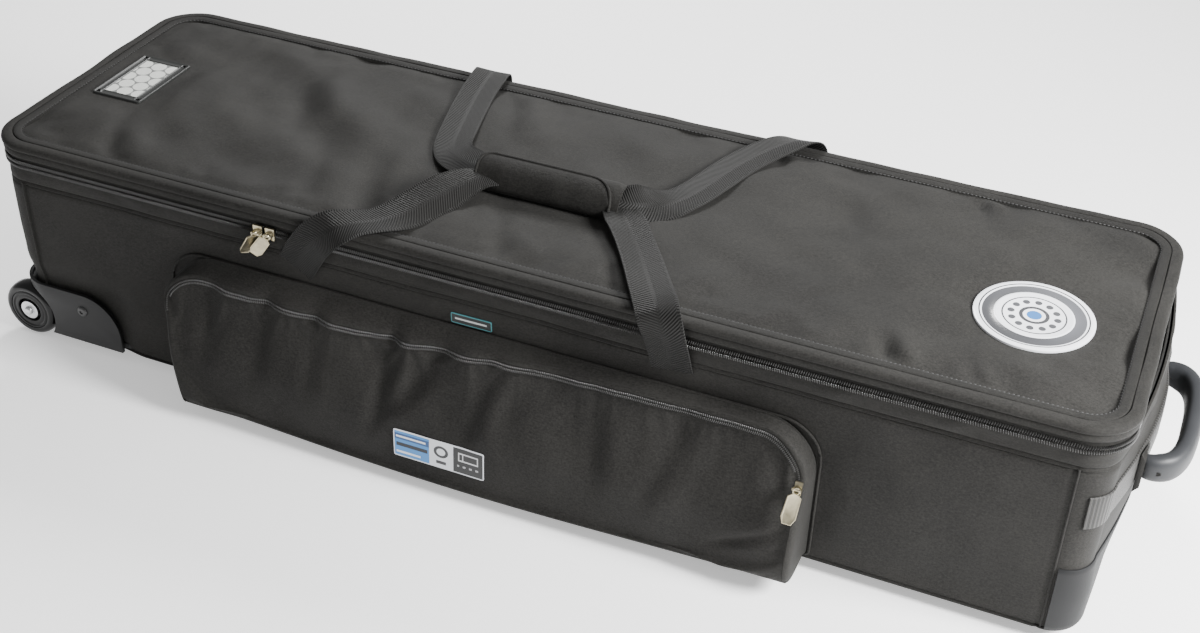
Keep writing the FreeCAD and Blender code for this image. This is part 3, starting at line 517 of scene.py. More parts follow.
def makeBody():
    rearWheel = seamIndex(-case["seamX"], case["bodyY"])
    frontWheel = seamIndex(-case["seamX"], -case["bodyY"])
    frontHandle = seamIndex(case["seamX"], -case["bodyY"])
    rearHandle = seamIndex(case["seamX"], case["bodyY"])
    count = len(bodyRing)
    wallPanel("wheelEndCloth", rearWheel, frontWheel, "wheel_end_panel")
    wallPanel("frontWallCloth", frontWheel, frontHandle, "front_panel")
    wallPanel("handleEndCloth", frontHandle, rearHandle, "handle_end_panel")
    wallPanel("rearWallCloth", rearHandle, rearWheel + count, "rear_panel", "zip_band")
    cords = []
    for k in (rearWheel, frontWheel, frontHandle, rearHandle):
        line = [bodyPoint(k, mix(0.018, case["tapeSeam"] - 0.002, i / 60), 0.0002) for i in range(61)]
        cords.append(cord("seam", line, wall["piping"]))
    base = [bodyPoint(k, 0.0162) for k in range(count)]
    cords.append(dropFaces(cord("baseSeam", base, wall["basePiping"], closed=True), inWell))
    finish(join("seamPipingCord", cords), edgeCloth, "root", "piping", "seam_piping")

    def basePoint(x, y):
        far = ease(case["seamX"], case["bodyX"], x)
        return Vector((x + bowedEnd(y) * bowShare(0.014) * far, y, 0.0142 + 0.0006 * lumps(x, y, 0, 0.06, 5)))

    places = roundGrid(case["bodyX"] - 0.0095, case["bodyY"] - 0.0095, case["bodyCorner"] - 0.008, 120, 36)
    under = gridObject("baseCloth", laidOver(places, basePoint), outward=facing(0, 0, -1))
    dropFaces(under, inWell)
    thicken(under, wall["thickness"])
    finish(under, caseCloth, "root", "base_fabric", "base_panel")


makeBody()
print("body ready")

# Cloth that settles by simulation between its pinned points, with the way it may move limited
def settle(obj, pinned, frames, growth, pressure, reach, gravity=0.0):
    rest = [v.co.copy() for v in obj.data.vertices]
    held = obj.vertex_groups.new(name="held")
    for v in obj.data.vertices:
        held.add([v.index], 1.0 if v.index in pinned else 0.0, "REPLACE")
    sim = obj.modifiers.new("settle", "CLOTH")
    sim.settings.quality = 4
    sim.settings.mass = 0.2
    sim.settings.tension_stiffness = sim.settings.compression_stiffness = 10.0
    sim.settings.shear_stiffness = 4.0
    sim.settings.bending_stiffness = 1.5
    sim.settings.vertex_group_mass = "held"
    sim.settings.shrink_min = -growth
    sim.settings.use_pressure = True
    sim.settings.uniform_pressure_force = pressure
    sim.settings.effector_weights.gravity = gravity
    sim.collision_settings.use_collision = False
    sim.point_cache.frame_end = frames
    for step in range(1, frames + 1):
        scene.frame_set(step)
    settled = obj.evaluated_get(bpy.context.evaluated_depsgraph_get()).data
    moved = [v.co.copy() for v in settled.vertices]
    obj.modifiers.clear()
    obj.vertex_groups.clear()
    for vertex, start, end in zip(obj.data.vertices, rest, moved):
        move = end - start
        if move.length > 1e-8:
            vertex.co = start + move * (math.tanh(move.length / reach) * reach / move.length)
    scene.frame_set(1)
    return obj


# Rows of small parts along a path: a tree that sets one rounded piece at every step
def rowTree():
    tree = bpy.data.node_groups.new("rowAlongPath", "GeometryNodeTree")
    wanted = (("Path", "NodeSocketGeometry"), ("Spacing", "NodeSocketFloat"), ("Size", "NodeSocketVector"),
              ("Turn", "NodeSocketVector"), ("Finish", "NodeSocketMaterial"))
    for name, kind in wanted:
        tree.interface.new_socket(name, in_out="INPUT", socket_type=kind)
    tree.interface.new_socket("Row", in_out="OUTPUT", socket_type="NodeSocketGeometry")
    given, result = tree.nodes.new("NodeGroupInput"), tree.nodes.new("NodeGroupOutput")

    def add(kind, links, **settings):
        made = tree.nodes.new(kind)
        for key, value in settings.items():
            setattr(made, key, value)
        for key, value in links.items():
            if isinstance(value, bpy.types.NodeSocket):
                tree.links.new(value, made.inputs[key])
            else:
                made.inputs[key].default_value = value
        return made

    upright = add("GeometryNodeSetCurveNormal", {"Curve": given.outputs["Path"]})
    upright.mode = "Z_UP"
    steps = add("GeometryNodeCurveToPoints", {}, mode="LENGTH")
    tree.links.new(upright.outputs[0], steps.inputs[0])
    tree.links.new(given.outputs["Spacing"], steps.inputs["Length"])
    ball = add("GeometryNodeMeshUVSphere", {"Segments": 8, "Rings": 5, "Radius": 0.5})
    shaped = add("GeometryNodeTransform", {"Geometry": ball.outputs[0], "Scale": given.outputs["Size"],
                                           "Rotation": given.outputs["Turn"]})
    along = add("FunctionNodeAlignRotationToVector", {"Vector": steps.outputs["Tangent"]}, axis="X")
    stand = add("FunctionNodeAlignRotationToVector",
                {"Rotation": along.outputs[0], "Vector": (0.0, 0.0, 1.0)}, axis="Z", pivot_axis="X")
    rows = add("GeometryNodeInstanceOnPoints", {
        "Points": steps.outputs["Points"], "Instance": shaped.outputs[0], "Rotation": stand.outputs[0]})
    solid = add("GeometryNodeRealizeInstances", {"Geometry": rows.outputs[0]})
    coloured = add("GeometryNodeSetMaterial",
                   {"Geometry": solid.outputs[0], "Material": given.outputs["Finish"]})
    tree.links.new(coloured.outputs[0], result.inputs[0])
    return tree


rowOfParts = rowTree()


def partsAlong(name, points, spacing, size, turn, material, closed=False):
    curve = bpy.data.curves.new(name, "CURVE")
    curve.dimensions = "3D"
    spline = curve.splines.new("POLY")
    spline.points.add(len(points) - 1)
    for spot, point in zip(spline.points, points):
        spot.co = (*point, 1.0)
    spline.use_cyclic_u = closed
    path = newObject(name + "Path", curve)
    maker = path.modifiers.new("row", "NODES")
    maker.node_group = rowOfParts
    inputs = [item for item in rowOfParts.interface.items_tree if item.in_out == "INPUT"]
    sockets = {item.name: item.identifier for item in inputs}
    for key, value in (("Spacing", spacing), ("Size", size), ("Turn", turn), ("Finish", material)):
        maker[sockets[key]] = value
    mesh = bpy.data.meshes.new_from_object(path.evaluated_get(bpy.context.evaluated_depsgraph_get()))
    bpy.data.objects.remove(path)
    mesh.name = name
    return newObject(name, mesh)


# Zips, sliders and thread
def coilNylon():
    paint = Paint("coilNylon", Specular_IOR_Level=0.6, Coat_Weight=0.28, Coat_Roughness=0.14)
    tone = paint.speckle(paint.places(), 260.0)
    return paint.wear(Base_Color=paint.blend(tone, (0.003, 0.003, 0.003), (0.050, 0.049, 0.047)),
                      Roughness=tone * 0.2 + 0.24)


def threadPaint(name, colour):
    paint = Paint(name, Specular_IOR_Level=0.5)
    tone = paint.speckle(paint.places(), 700.0)
    skin = paint.blend(tone, shade(colour, 0.6), shade(colour, 1.4))
    return paint.wear(Base_Color=skin, Roughness=tone * 0.2 + 0.45)


nylon = coilNylon()
darkThread = threadPaint("darkThread", (0.006, 0.006, 0.006))

# Lid: a padded panel, a piped seam, and a border rolled over the rim
lid = {
    "seamInset": 0.0215, "sides": (230, 68), "rise": 0.0020, "broad": 0.0040, "fine": 0.0012,
    "holder": (-0.526, 0.002, 0.040, 0.058), "badge": (0.483, -0.034, 0.058),
    "grip": (-0.006, -0.038, 0.13, 0.06), "ripple": 0.0024, "sunk": 0.0016, "pleats": 0.0030, "flat": 0.0004,
    "stitchPitch": 0.0042, "stitch": (0.0034, 0.0013, 0.0012), "stitchTurn": 0.35, "stitchLevel": 0.2551,
    "pipe": ((-0.0222, 0.2515), (-0.0218, 0.2540), (-0.0208, 0.2553), (-0.0190, 0.2559), (-0.0150, 0.2562),
             (-0.0125, 0.2562), (-0.0117, 0.2557), (-0.0113, 0.2545), (-0.0112, 0.2530)),
    "roll": ((-0.0116, 0.2530), (-0.0113, 0.2550), (-0.0104, 0.2561), (-0.0080, 0.2565), (-0.0040, 0.2563),
             (-0.0014, 0.2555), (0.0004, 0.2540), (0.0011, 0.2520), (0.0010, 0.2502), (0.0002, 0.2490),
             (-0.0007, 0.2484), (-0.0004, 0.2476), (0.0000, 0.2460), (0.0001, 0.2435), (-0.0002, 0.2415),
             (-0.0010, 0.2404), (-0.0026, 0.2404), (-0.0034, 0.2440), (-0.0040, 0.2500)),
    "dents": ((-0.335, 0.030, 0.040, 0.0036), (-0.255, -0.075, 0.045, 0.0040),
              (-0.170, -0.120, 0.036, 0.0040), (-0.120, 0.110, 0.036, 0.0034),
              (0.175, 0.150, 0.018, 0.0046), (0.392, 0.149, 0.019, 0.0066),
              (0.375, -0.152, 0.020, 0.0066), (0.455, -0.157, 0.014, 0.0042), (-0.470, -0.130, 0.030, 0.0034),
              (0.280, 0.060, 0.040, 0.0026), (-0.020, -0.125, 0.034, 0.0030)),
}
lidCounts = (400, 116, 20)
lidRing = ringPath(case["lidX"], case["lidY"], case["lidCorner"], lidCounts)


def insideLid(x, y):
    # how far a place lies inside the panel's seam
    inset = lid["seamInset"]
    turn = case["lidCorner"] - inset
    a, b = abs(x) - case["lidX"] + inset + turn, abs(y) - case["lidY"] + inset + turn
    return turn - (math.hypot(max(a, 0.0), max(b, 0.0)) if max(a, b) > 0 else max(a, b))


def lidZ(x, y):
    # height of the lid's cloth at a place
    depth = insideLid(x, y)
    inner = ease(0.0, 0.05, depth)
    slant = x * 0.6 + y
    z = case["lidTop"] - lid["sunk"] + lid["rise"] * ease(0.0, 0.016, depth)
    z += inner * lid["broad"] * (lumps(x, y * 1.4, 0, 0.13, 6) + 0.9 * lumps(slant, x * 0.4, 0, 0.055, 7))
    z += inner * lid["fine"] * (lumps(x, y, 0, 0.03, 8) + abs(lumps(x - y * 0.8, y * 0.5, 0, 0.045, 48)))
    z += (lid["ripple"] * inner * math.sin(slant / 0.022 + 4.0 * lumps(x, y, 0, 0.16, 9))
          * ease(-0.06, -0.30, x))
    z -= lid["pleats"] * ease(0.045, 0.004, depth) * max(0.0, lumps(x, y, 0, 0.05, 10)) * 2
    for dx, dy, size, deep in lid["dents"]:
        across, along = (x - dx) + (y - dy) * 0.45, (y - dy) - (x - dx) * 0.45
        crease = hump(across, 0, size * 0.42) - 0.7 * hump(across, size, size * 0.5)
        z -= ease(0.0, 0.014, depth) * deep * crease * hump(along, 0, size * 1.6)
    hx, hy, hw, hd = lid["holder"]
    bx, by, br = lid["badge"]
    gx, gy, gw, gd = lid["grip"]
    flat = max(ease(hw + 0.03, hw, abs(x - hx)) * ease(hd + 0.03, hd, abs(y - hy)),
               ease(br + 0.03, br, math.hypot(x - bx, y - by)))
    under = ease(gw + 0.04, gw, abs(x - gx)) * ease(gd + 0.04, gd, abs(y - gy))
    z = mix(z, case["lidTop"] - lid["flat"], flat)
    return mix(z, min(z, case["lidTop"] + lid["flat"]), under)


def wavyRing(name, points, wave, seed):
    rows = []
    for x, y, nx, ny in lidRing:
        ripple = wave * lumps(x, y, 0, 0.05, seed)
        rows.append([Vector((x + nx * (out + ripple), y + ny * (out + ripple), z + ripple * 0.5))
                     for out, z in points])
    return gridObject(name, rows, wrap=True, tube=True)


def makeLid():
    inset = lid["seamInset"]
    halfX, halfY, turn = case["lidX"] - inset, case["lidY"] - inset, case["lidCorner"] - inset
    places = roundGrid(halfX, halfY, turn, *lid["sides"])
    rows = laidOver(places, lambda x, y: Vector((x, y, lidZ(x, y))))
    panel = gridObject("lidPanelCloth", rows, outward=facing(0, 0, 1))

    def isHeld(p):
        hx, hy, hw, hd = lid["holder"]
        bx, by, br = lid["badge"]
        gx, gy, gw, gd = lid["grip"]
        near = abs(p.x - hx) < hw and abs(p.y - hy) < hd or math.hypot(p.x - bx, p.y - by) < br
        near = near or abs(p.x - gx) < gw * 0.75 and abs(p.y - gy) < gd * 0.75
        return near or insideLid(p.x, p.y) < 0.0008

    held = {v.index for v in panel.data.vertices if isHeld(v.co)}
    settle(panel, held, frames=18, growth=0.004, pressure=0.35, reach=0.0022)
    thicken(panel, 0.003)
    finish(panel, caseCloth, "lid", "shell_fabric", "lid_panel")
    pipe = wavyRing("lidSeamPipe", lid["pipe"], 0.0005, 11)
    finish(pipe, edgeCloth, "lid", "piping", "lid_piping")
    roll = wavyRing("lidEdgeRoll", lid["roll"], 0.0011, 12)
    finish(roll, caseCloth, "lid", "shell_fabric", "lid_border", "lid_band")
    reach = inset - 0.0004
    line = [(x - nx * reach, y - ny * reach, lid["stitchLevel"]) for x, y, nx, ny in lidRing]
    stitches = partsAlong("lidSeamStitches", line, lid["stitchPitch"], lid["stitch"],
                          (0.0, 0.0, lid["stitchTurn"]), darkThread, closed=True)
    finish(stitches, darkThread, "lid", "piping")


makeLid()
print("lid ready")

# Main zip: two rows of coil round the opening, one on the lid and one on the body
zipper = {
    "pitch": 0.0022, "tooth": (0.0012, 0.0030, 0.0044), "upper": 0.2348, "lower": 0.2296, "depth": 0.0006,
    "lean": 0.22, "rearGap": 0.030,
}


def openRing(inset, z):
    # the zip's way round the case, from the rear of the wheel end to the rear of the handle end
    ring = ringPath(case["lidX"] - inset, case["lidY"] - inset, case["lidCorner"] - inset, ringCounts)
    limit = case["lidY"] - zipper["rearGap"]
    return [(x, y, z) for x, y, nx, ny in ring if y < limit]


def makeZip():
    upper = openRing(zipper["depth"], zipper["upper"])
    teeth = partsAlong("upperZipCoil", upper, zipper["pitch"], zipper["tooth"],
                       (0.0, zipper["lean"], 0.0), nylon)
    tape = gridObject("upperZipTape", [[Vector((x, y, z)) for z in (0.2324, 0.2360, 0.2400)]
                                    for x, y, z in openRing(zipper["depth"] + 0.0016, 0.0)],
                      outward=lambda c: Vector((c.x, c.y * 3, 0)))
    finish(thicken(tape, 0.0008), edgeCloth, "lid", "zip_nylon")
    finish(teeth, nylon, "lid", "zip_nylon", "upper_zip")
    lower = openRing(zipper["depth"], zipper["lower"])
    teeth = partsAlong("lowerZipCoil", lower[1:], zipper["pitch"], zipper["tooth"],
                       (0.0, -zipper["lean"], 0.0), nylon)
    finish(teeth, nylon, "root", "zip_nylon", "lower_zip")


makeZip()
print("zip ready")

# Pocket: a backing on the wall, boxed sides, and a soft face that folds down from its zip
pouch = {
    "counts": (230, 30, 20), "corner": 0.053, "lowCorner": 0.005, "backCorner": 0.042, "back": -0.1772,
    "belly": -0.2316, "bellyTop": 0.080, "bellyLow": 0.030, "slope": 0.4375, "turnUnder": 1.6, "lean": 0.024,
    "zipSag": 0.0132, "sagPlace": (-0.18, 0.23), "zipWave": 0.0016, "topLean": 0.008, "cornerLow": 0.021,
    "edgeIn": 0.0060, "folds": (0.0052, 0.0036, 0.0030), "tuck": (0.290, 0.068, 0.55, 0.0050),
    "toothPitch": 0.0019, "toothLean": 0.2, "thickness": 0.0014, "droop": 0.0095, "bellyDroop": 0.0140,
    "droopPlace": (-0.03, 0.25),
    "faceInset": 0.0064, "sides": (240, 56), "hinge": 0.120, "hingeY": -0.2145, "coilStart": 0.1385,
    "side": ((0.0014, 0.0), (0.0002, 0.05), (0.0004, 0.30), (0.0, 0.60), (-0.0003, 0.78), (-0.0009, 0.89),
             (-0.0021, 0.955), (-0.0042, 0.99), (-0.0060, 1.0), (-0.0066, 0.985)),
    "creases": ((-0.312, 0.10, 0.0030, 0.011), (-0.248, 0.16, 0.0034, 0.012), (-0.190, 0.05, 0.0030, 0.011),
                (-0.104, 0.12, 0.0050, 0.010), (-0.052, 0.72, 0.0034, 0.012), (0.004, 0.22, 0.0030, 0.010),
                (0.118, -0.10, 0.0022, 0.010), (0.205, 0.35, 0.0026, 0.012)),
    "tooth": (0.0011, 0.0024, 0.0013), "fixedRow": 0.0070, "movingRow": 0.0098,
    "label": (-0.040, 0.052, 0.101, 0.033), "tag": (-0.026, 0.186, 0.044, 0.012),
}
pocketX, pocketZ = (pocket["left"] + pocket["right"]) / 2, (pocket["bottom"] + pocket["top"]) / 2
pocketHalfX, pocketHalfZ = (pocket["right"] - pocket["left"]) / 2, (pocket["top"] - pocket["bottom"]) / 2


def frontY(x, z, out=0.0):
    return -(case["bodyY"] + wallPush(x, -case["bodyY"], 0.0, -1.0, z) + out)


def softMost(a, b, turn):
    return (a + b + math.hypot(a - b, turn)) / 2


def hang(x, z):
    # the pocket's wheel side leans in towards the base, and its zip sags a little
    along = x - pocket["left"]
    lean = pouch["lean"] * min(max((pouch["hinge"] - z) / 0.100, 0.0), 1.0) * ease(0.22, 0.0, along)
    lean -= pouch["topLean"] * ease(0.11, 0.145, z) * ease(0.12, 0.0, along)
    sag = pouch["zipSag"] * hump(x, *pouch["sagPlace"]) + pouch["zipWave"] * lumps(x, 0, 0, 0.09, 27)
    droop = pouch["droop"] * hump(x, *pouch["droopPlace"]) * ease(0.080, 0.020, z)
    return x + lean, z - sag * ease(0.09, 0.168, z) - droop


def pocketY(x, z):
    # front of the pocket's face: it slopes out from the zip to a hanging belly, and folds run down it
    face = softMost(pouch["belly"] + (z - pouch["bellyTop"]) * pouch["slope"], pouch["belly"], 0.006)
    low = mix(pouch["cornerLow"], pouch["bellyLow"], ease(0.0, 0.10, x - pocket["left"]))
    low -= pouch["bellyDroop"] * hump(x, *pouch["droopPlace"])
    face = softMost(face, pouch["belly"] + (low - z) * pouch["turnUnder"], 0.004)
    edge = ease(0.0, 0.05, x - pocket["left"]) * ease(0.0, 0.05, pocket["right"] - x)
    face += pouch["edgeIn"] * (1 - edge) * ease(0.165, 0.13, z) * ease(0.035, 0.085, z)
    below = ease(0.176, 0.150, z) * ease(0.020, 0.055, z)
    steep, broad, fine = pouch["folds"]
    folds = steep * lumps(x + (z - 0.1) * 0.30, 0.0, z * 0.20, 0.048, 21)
    folds += broad * lumps(x, 0.0, z, 0.11, 22)
    folds += fine * lumps(x - z * 0.4, 0.0, z * 0.25, 0.026, 23) * ease(0.085, 0.15, z)
    for cx, slope, deep, size in pouch["creases"]:
        off = x - cx - (z - 0.15) * slope
        crease = hump(off, 0.0, size) - 0.7 * hump(off, size * 1.9, size * 1.3)
        folds -= deep * crease * ease(0.045, 0.10, z)
    # a tuck runs in from the lower corner
    tuckX, tuckZ, tuckSlope, tuckDepth = pouch["tuck"]
    tuck = (z - tuckZ) - (x - tuckX) * tuckSlope
    folds -= tuckDepth * hump(tuck, 0.0, 0.006) * ease(0.225, 0.270, x) * edge
    lx, lz, lw, lh = pouch["label"]
    folds *= 1.0 - 0.85 * ease(lw / 2 + 0.02, lw / 2, abs(x - lx)) * ease(lh / 2 + 0.02, lh / 2, abs(z - lz))
    return face - folds * below


def pocketRing(inset):
    corner, low = pouch["corner"] - inset, max(pouch["lowCorner"] - inset, 0.002)
    ring = ringPath(pocketHalfX - inset, pocketHalfZ - inset, corner, pouch["counts"], low)
    return [(x + pocketX, z + pocketZ, nx, nz) for x, z, nx, nz in ring]


def rowOnPocket(name, inset, lowest, lean):
    # a row of teeth set flat, then stood up on the pocket's face
    flat = [(*hang(x, z), 0.0) for x, z, nx, nz in pocketRing(inset) if z > lowest]
    middle = next((k for k in range(len(flat) - 1) if flat[k + 1][0] - flat[k][0] > 0.1), len(flat) - 1)
    line = flat[middle + 1:] + flat[:middle + 1]
    row = partsAlong(name, line, pouch["toothPitch"], pouch["tooth"], (0.0, 0.0, lean), nylon)
    for vertex in row.data.vertices:
        x, z, lift = vertex.co
        vertex.co = (x, pocketY(x, z) - 0.0006 - lift, z)
    faceOut(row.data)
    return row


def patch(name, spot, onto):
    # a thin label that follows the cloth under it, with a UV map from 0 to 1
    centreX, centreZ, width, height = spot
    long, high = 36, 14
    places = roundGrid(width / 2, height / 2, 0.0015, long, high)
    rows = laidOver(places, lambda x, z: Vector((centreX + x, onto(centreX + x, centreZ + z), centreZ + z)))
    across = [j / high for j in range(high + 1)]
    along = [i / long for i in range(long + 1)]
    piece = gridObject(name, rows, outward=facing(0, -1, 0), across=across, along=along)
    return thicken(piece, 0.0008, 1.0)


def makePocket():
    halfX = (pocket["backRight"] - pocket["backLeft"]) / 2
    midX = (pocket["backRight"] + pocket["backLeft"]) / 2

    def onWall(x, z, out):
        return Vector((x + midX, frontY(x + midX, z + pocketZ, out), z + pocketZ))

    places = roundGrid(halfX, pocketHalfZ, pouch["backCorner"], 120, 28, pouch["lowCorner"])
    rows = laidOver(places, lambda x, z: onWall(x, z, 0.0012))
    backing = gridObject("pocketBackingCloth", rows, outward=facing(0, -1, 0))
    thicken(backing, 0.0010)
    ring = ringPath(halfX, pocketHalfZ, pouch["backCorner"], (200, 30, 14), pouch["lowCorner"])
    edge = cord("backingEdge", [onWall(x, z, 0.0016) for x, z, nx, nz in ring], 0.0014, closed=True)
    finish(join("pocketBackingCloth", [backing, edge]), caseCloth, "root", "shell_fabric", "pocket_backing")

    rows = []
    for x, z, nx, nz in pocketRing(0.0):
        face = pocketY(*hang(x - nx * pouch["faceInset"], z - nz * pouch["faceInset"]))
        row = []
        for out, share in pouch["side"]:
            soft = 0.0016 * lumps(x, share * 0.03, z, 0.035, 24) * math.sin(math.pi * min(share, 0.9) / 0.9)
            sag = -0.0030 * math.sin(math.pi * share) * ease(0.5, 1.0, nz)
            reach = out + soft + sag
            fromX, fromZ = x + nx * reach, z + nz * reach
            px, pz = hang(fromX, fromZ)
            y = mix(pouch["back"], face, share)
            row.append(Vector((mix(fromX, px, share), y, mix(fromZ, pz, share))))
        rows.append(row)
    sides = gridObject("pocketGussetCloth", rows, wrap=True,
                       outward=lambda c: Vector((c.x - pocketX, 0, (c.z - pocketZ) * 4)))
    thicken(sides, pouch["thickness"])
    finish(sides, caseCloth, "root", "shell_fabric", "pocket_gusset")

    inset = pouch["faceInset"]
    long, high = pouch["sides"]
    places = roundGrid(pocketHalfX - inset, pocketHalfZ - inset, pouch["corner"] - inset, long, high, 0.004)
    spots = laidOver(places, lambda x, z: hang(x + pocketX, z + pocketZ))
    rows = laidOver(spots, lambda x, z: Vector((x, pocketY(x, z), z)))
    face = gridObject("pocketFaceCloth", rows, outward=facing(0, -1, 0))
    rim = {i * (high + 1) + j for i in range(long + 1) for j in range(high + 1)
           if i in (0, long) or j in (0, high)}
    settle(face, rim, frames=20, growth=0.010, pressure=0.30, reach=0.0060, gravity=0.3)
    onto = frontOf(face)
    thicken(face, pouch["thickness"])
    finish(face, caseCloth, None, "shell_fabric", "pocket_front", "pocket_flap")
    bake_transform(face)
    fixed = rowOnPocket("fixedRow", pouch["fixedRow"], pouch["hinge"], pouch["toothLean"])
    finish(fixed, nylon, "root", "zip_nylon", "pocket_zip_fixed")
    moving = rowOnPocket("movingRow", pouch["movingRow"], pouch["coilStart"], -pouch["toothLean"])
    finish(moving, nylon, "pocket_flap", "zip_nylon", "pocket_zip_moving")
    return onto


def frontOf(obj):
    # a function that finds the cloth straight behind a place in front of it
    tree = BVHTree.FromPolygons([v.co.copy() for v in obj.data.vertices],
                                [p.vertices[:] for p in obj.data.polygons])
    before = -0.3

    def at(x, z):
        hit = tree.ray_cast(Vector((x, before, z)), Vector((0, 1, 0)))[0]
        return hit.y if hit else before
    return at


pocketFront = makePocket()
print("pocket ready")

# Webbing: chevron ribs in two columns, with a corded edge each side
def chevronWebbing(name, colour, width):
    columns, rib = 2.0, 0.0029
    paint = Paint(name, Specular_IOR_Level=0.14, Sheen_Weight=0.03, Sheen_Roughness=0.5)
    across, along, none = paint.parts(paint.places("UV"))
    column = width / columns
    zig = ((across / (column * 2)).fraction() - 0.5).size() * column * 2
    ribs = ((along + zig * 0.62) * (2 * math.pi / rib)).sine() * 0.5 + 0.5
    flat = zig.between(column - 0.0035, column - 0.0020) + zig.between(0.0030, 0.0018)
    edge = (across - width / 2).size().between(width / 2 - 0.0036, width / 2 - 0.0026)
    cords = (along * (2 * math.pi / 0.0024)).sine() * 0.5 + 0.5
    yarn = (ribs * (1.0 - flat * 0.6) + flat * 0.25) * (1.0 - edge) + cords * edge
    fuzz = paint.speckle(paint.places("UV"), 700.0, 2.0)
    worn = paint.speckle(paint.places(), 22.0, 3.0)
    tone = (yarn * 0.80 + fuzz * 0.45 + worn * 0.35 - 0.30).between(0.0, 1.0)
    skin = paint.blend(tone, shade(colour, 0.32), shade(colour, 1.90))
    return paint.wear(Base_Color=skin, Roughness=fuzz * 0.15 + 0.50, Normal=paint.bump(yarn, 0.0007, 0.8))


strap = {
    "width": 0.042, "thickness": 0.0018, "step": 0.004, "cup": 0.0006, "fold": 0.010, "gathered": 0.66,
}
grip = {"x": -0.007, "half": 0.074, "y": -0.036}
webbing = chevronWebbing("strapWebbing", (0.0094, 0.0092, 0.0086), strap["width"])

# Straps: middle of the webbing and the way its face looks, in millimetres
frontStrapWay = (
    ((-222, -176.6, 196), (0, -1, 0)), ((-207, -182.5, 220), (0.1, -1, 0.1)),
    ((-190, -187.8, 243), (0.1, -1, 0.35)), ((-172, -184.5, 258.5), (0.1, -0.7, 0.8)),
    ((-156, -172, 262.5), (0, -0.15, 1)), ((-137, -157, 262.8), (0, 0, 1)),
    ((-120, -138, 264), (0.2, -0.3, 1)), ((-107, -115, 267), (0.45, -0.45, 0.9)),
    ((-95, -90, 270), (0.5, -0.4, 0.8)), ((-84, -66, 271), (0.35, -0.35, 0.9)),
    ((-68, -47, 270), (0, -0.2, 1)), ((-44, -37, 268), (0, 0, 1)), ((-4, -35, 268), (0, 0, 1)),
    ((36, -35, 268), (0, 0, 1)), ((62, -38, 267.5), (0, 0, 1)), ((84, -55, 266), (0.15, -0.1, 1)),
    ((105, -82, 263.5), (0.2, 0, 1)), ((127, -115, 263), (0.12, 0, 1)),
    ((147, -148, 264), (0.05, -0.05, 1)), ((162, -172, 263.5), (0, -0.25, 1)),
    ((170, -184.5, 258.5), (0, -0.75, 0.75)), ((177, -188, 242), (0, -1, 0.25)),
    ((181, -183, 220), (0, -1, 0.1)), ((184, -176.6, 196), (0, -1, 0)),
)
rearStrapWay = (
    ((-178, 176.6, 196), (0, 1, 0)), ((-177, 183, 220), (0, 1, 0.1)), ((-176, 188, 243), (0, 1, 0.35)),
    ((-175, 184, 259.5), (0, 0.7, 0.8)), ((-173, 170, 264), (0, 0.12, 1)),
    ((-167, 125, 262.5), (0, 0, 1)), ((-157, 78, 262), (0, 0, 1)), ((-147, 38, 262.3), (-0.05, 0, 1)),
    ((-137, 6, 264), (-0.1, -0.15, 1)), ((-121, -17, 268), (-0.1, -0.3, 1)),
    ((-98, -30, 271), (0.1, -0.3, 1)), ((-70, -35, 273), (0, -0.1, 1)), ((-30, -35, 273), (0, 0, 1)),
    ((10, -35, 273), (0, 0, 1)), ((48, -35, 273), (0, -0.1, 1)), ((72, -36, 272), (0.3, -0.7, 0.8)),
    ((88, -31, 270), (0.5, -0.7, 0.7)), ((102, -18, 266), (0.4, -0.3, 0.9)),
    ((115, 2, 262.4), (0.1, 0, 1)), ((126, 25, 262), (0, 0, 1)), ((136, 58, 262), (0, 0, 1)),
    ((147, 96, 262.3), (0, 0, 1)), ((162, 132, 263), (0, 0, 1)), ((182, 164, 264.5), (0, 0.1, 1)),
    ((196, 183, 260), (0, 0.7, 0.8)), ((201, 188.2, 243), (0, 1, 0.35)), ((203, 183, 220), (0, 1, 0.1)),
    ((203, 176.6, 196), (0, 1, 0)),
)


def bunched(p):
    # the share of its width that the webbing keeps at a place: it is gathered inside the grip
    if abs(p.y - grip["y"]) > 0.05:
        return 1.0
    return mix(strap["gathered"], 1.0, ease(grip["half"] - 0.012, grip["half"] + 0.02, abs(p.x - grip["x"])))


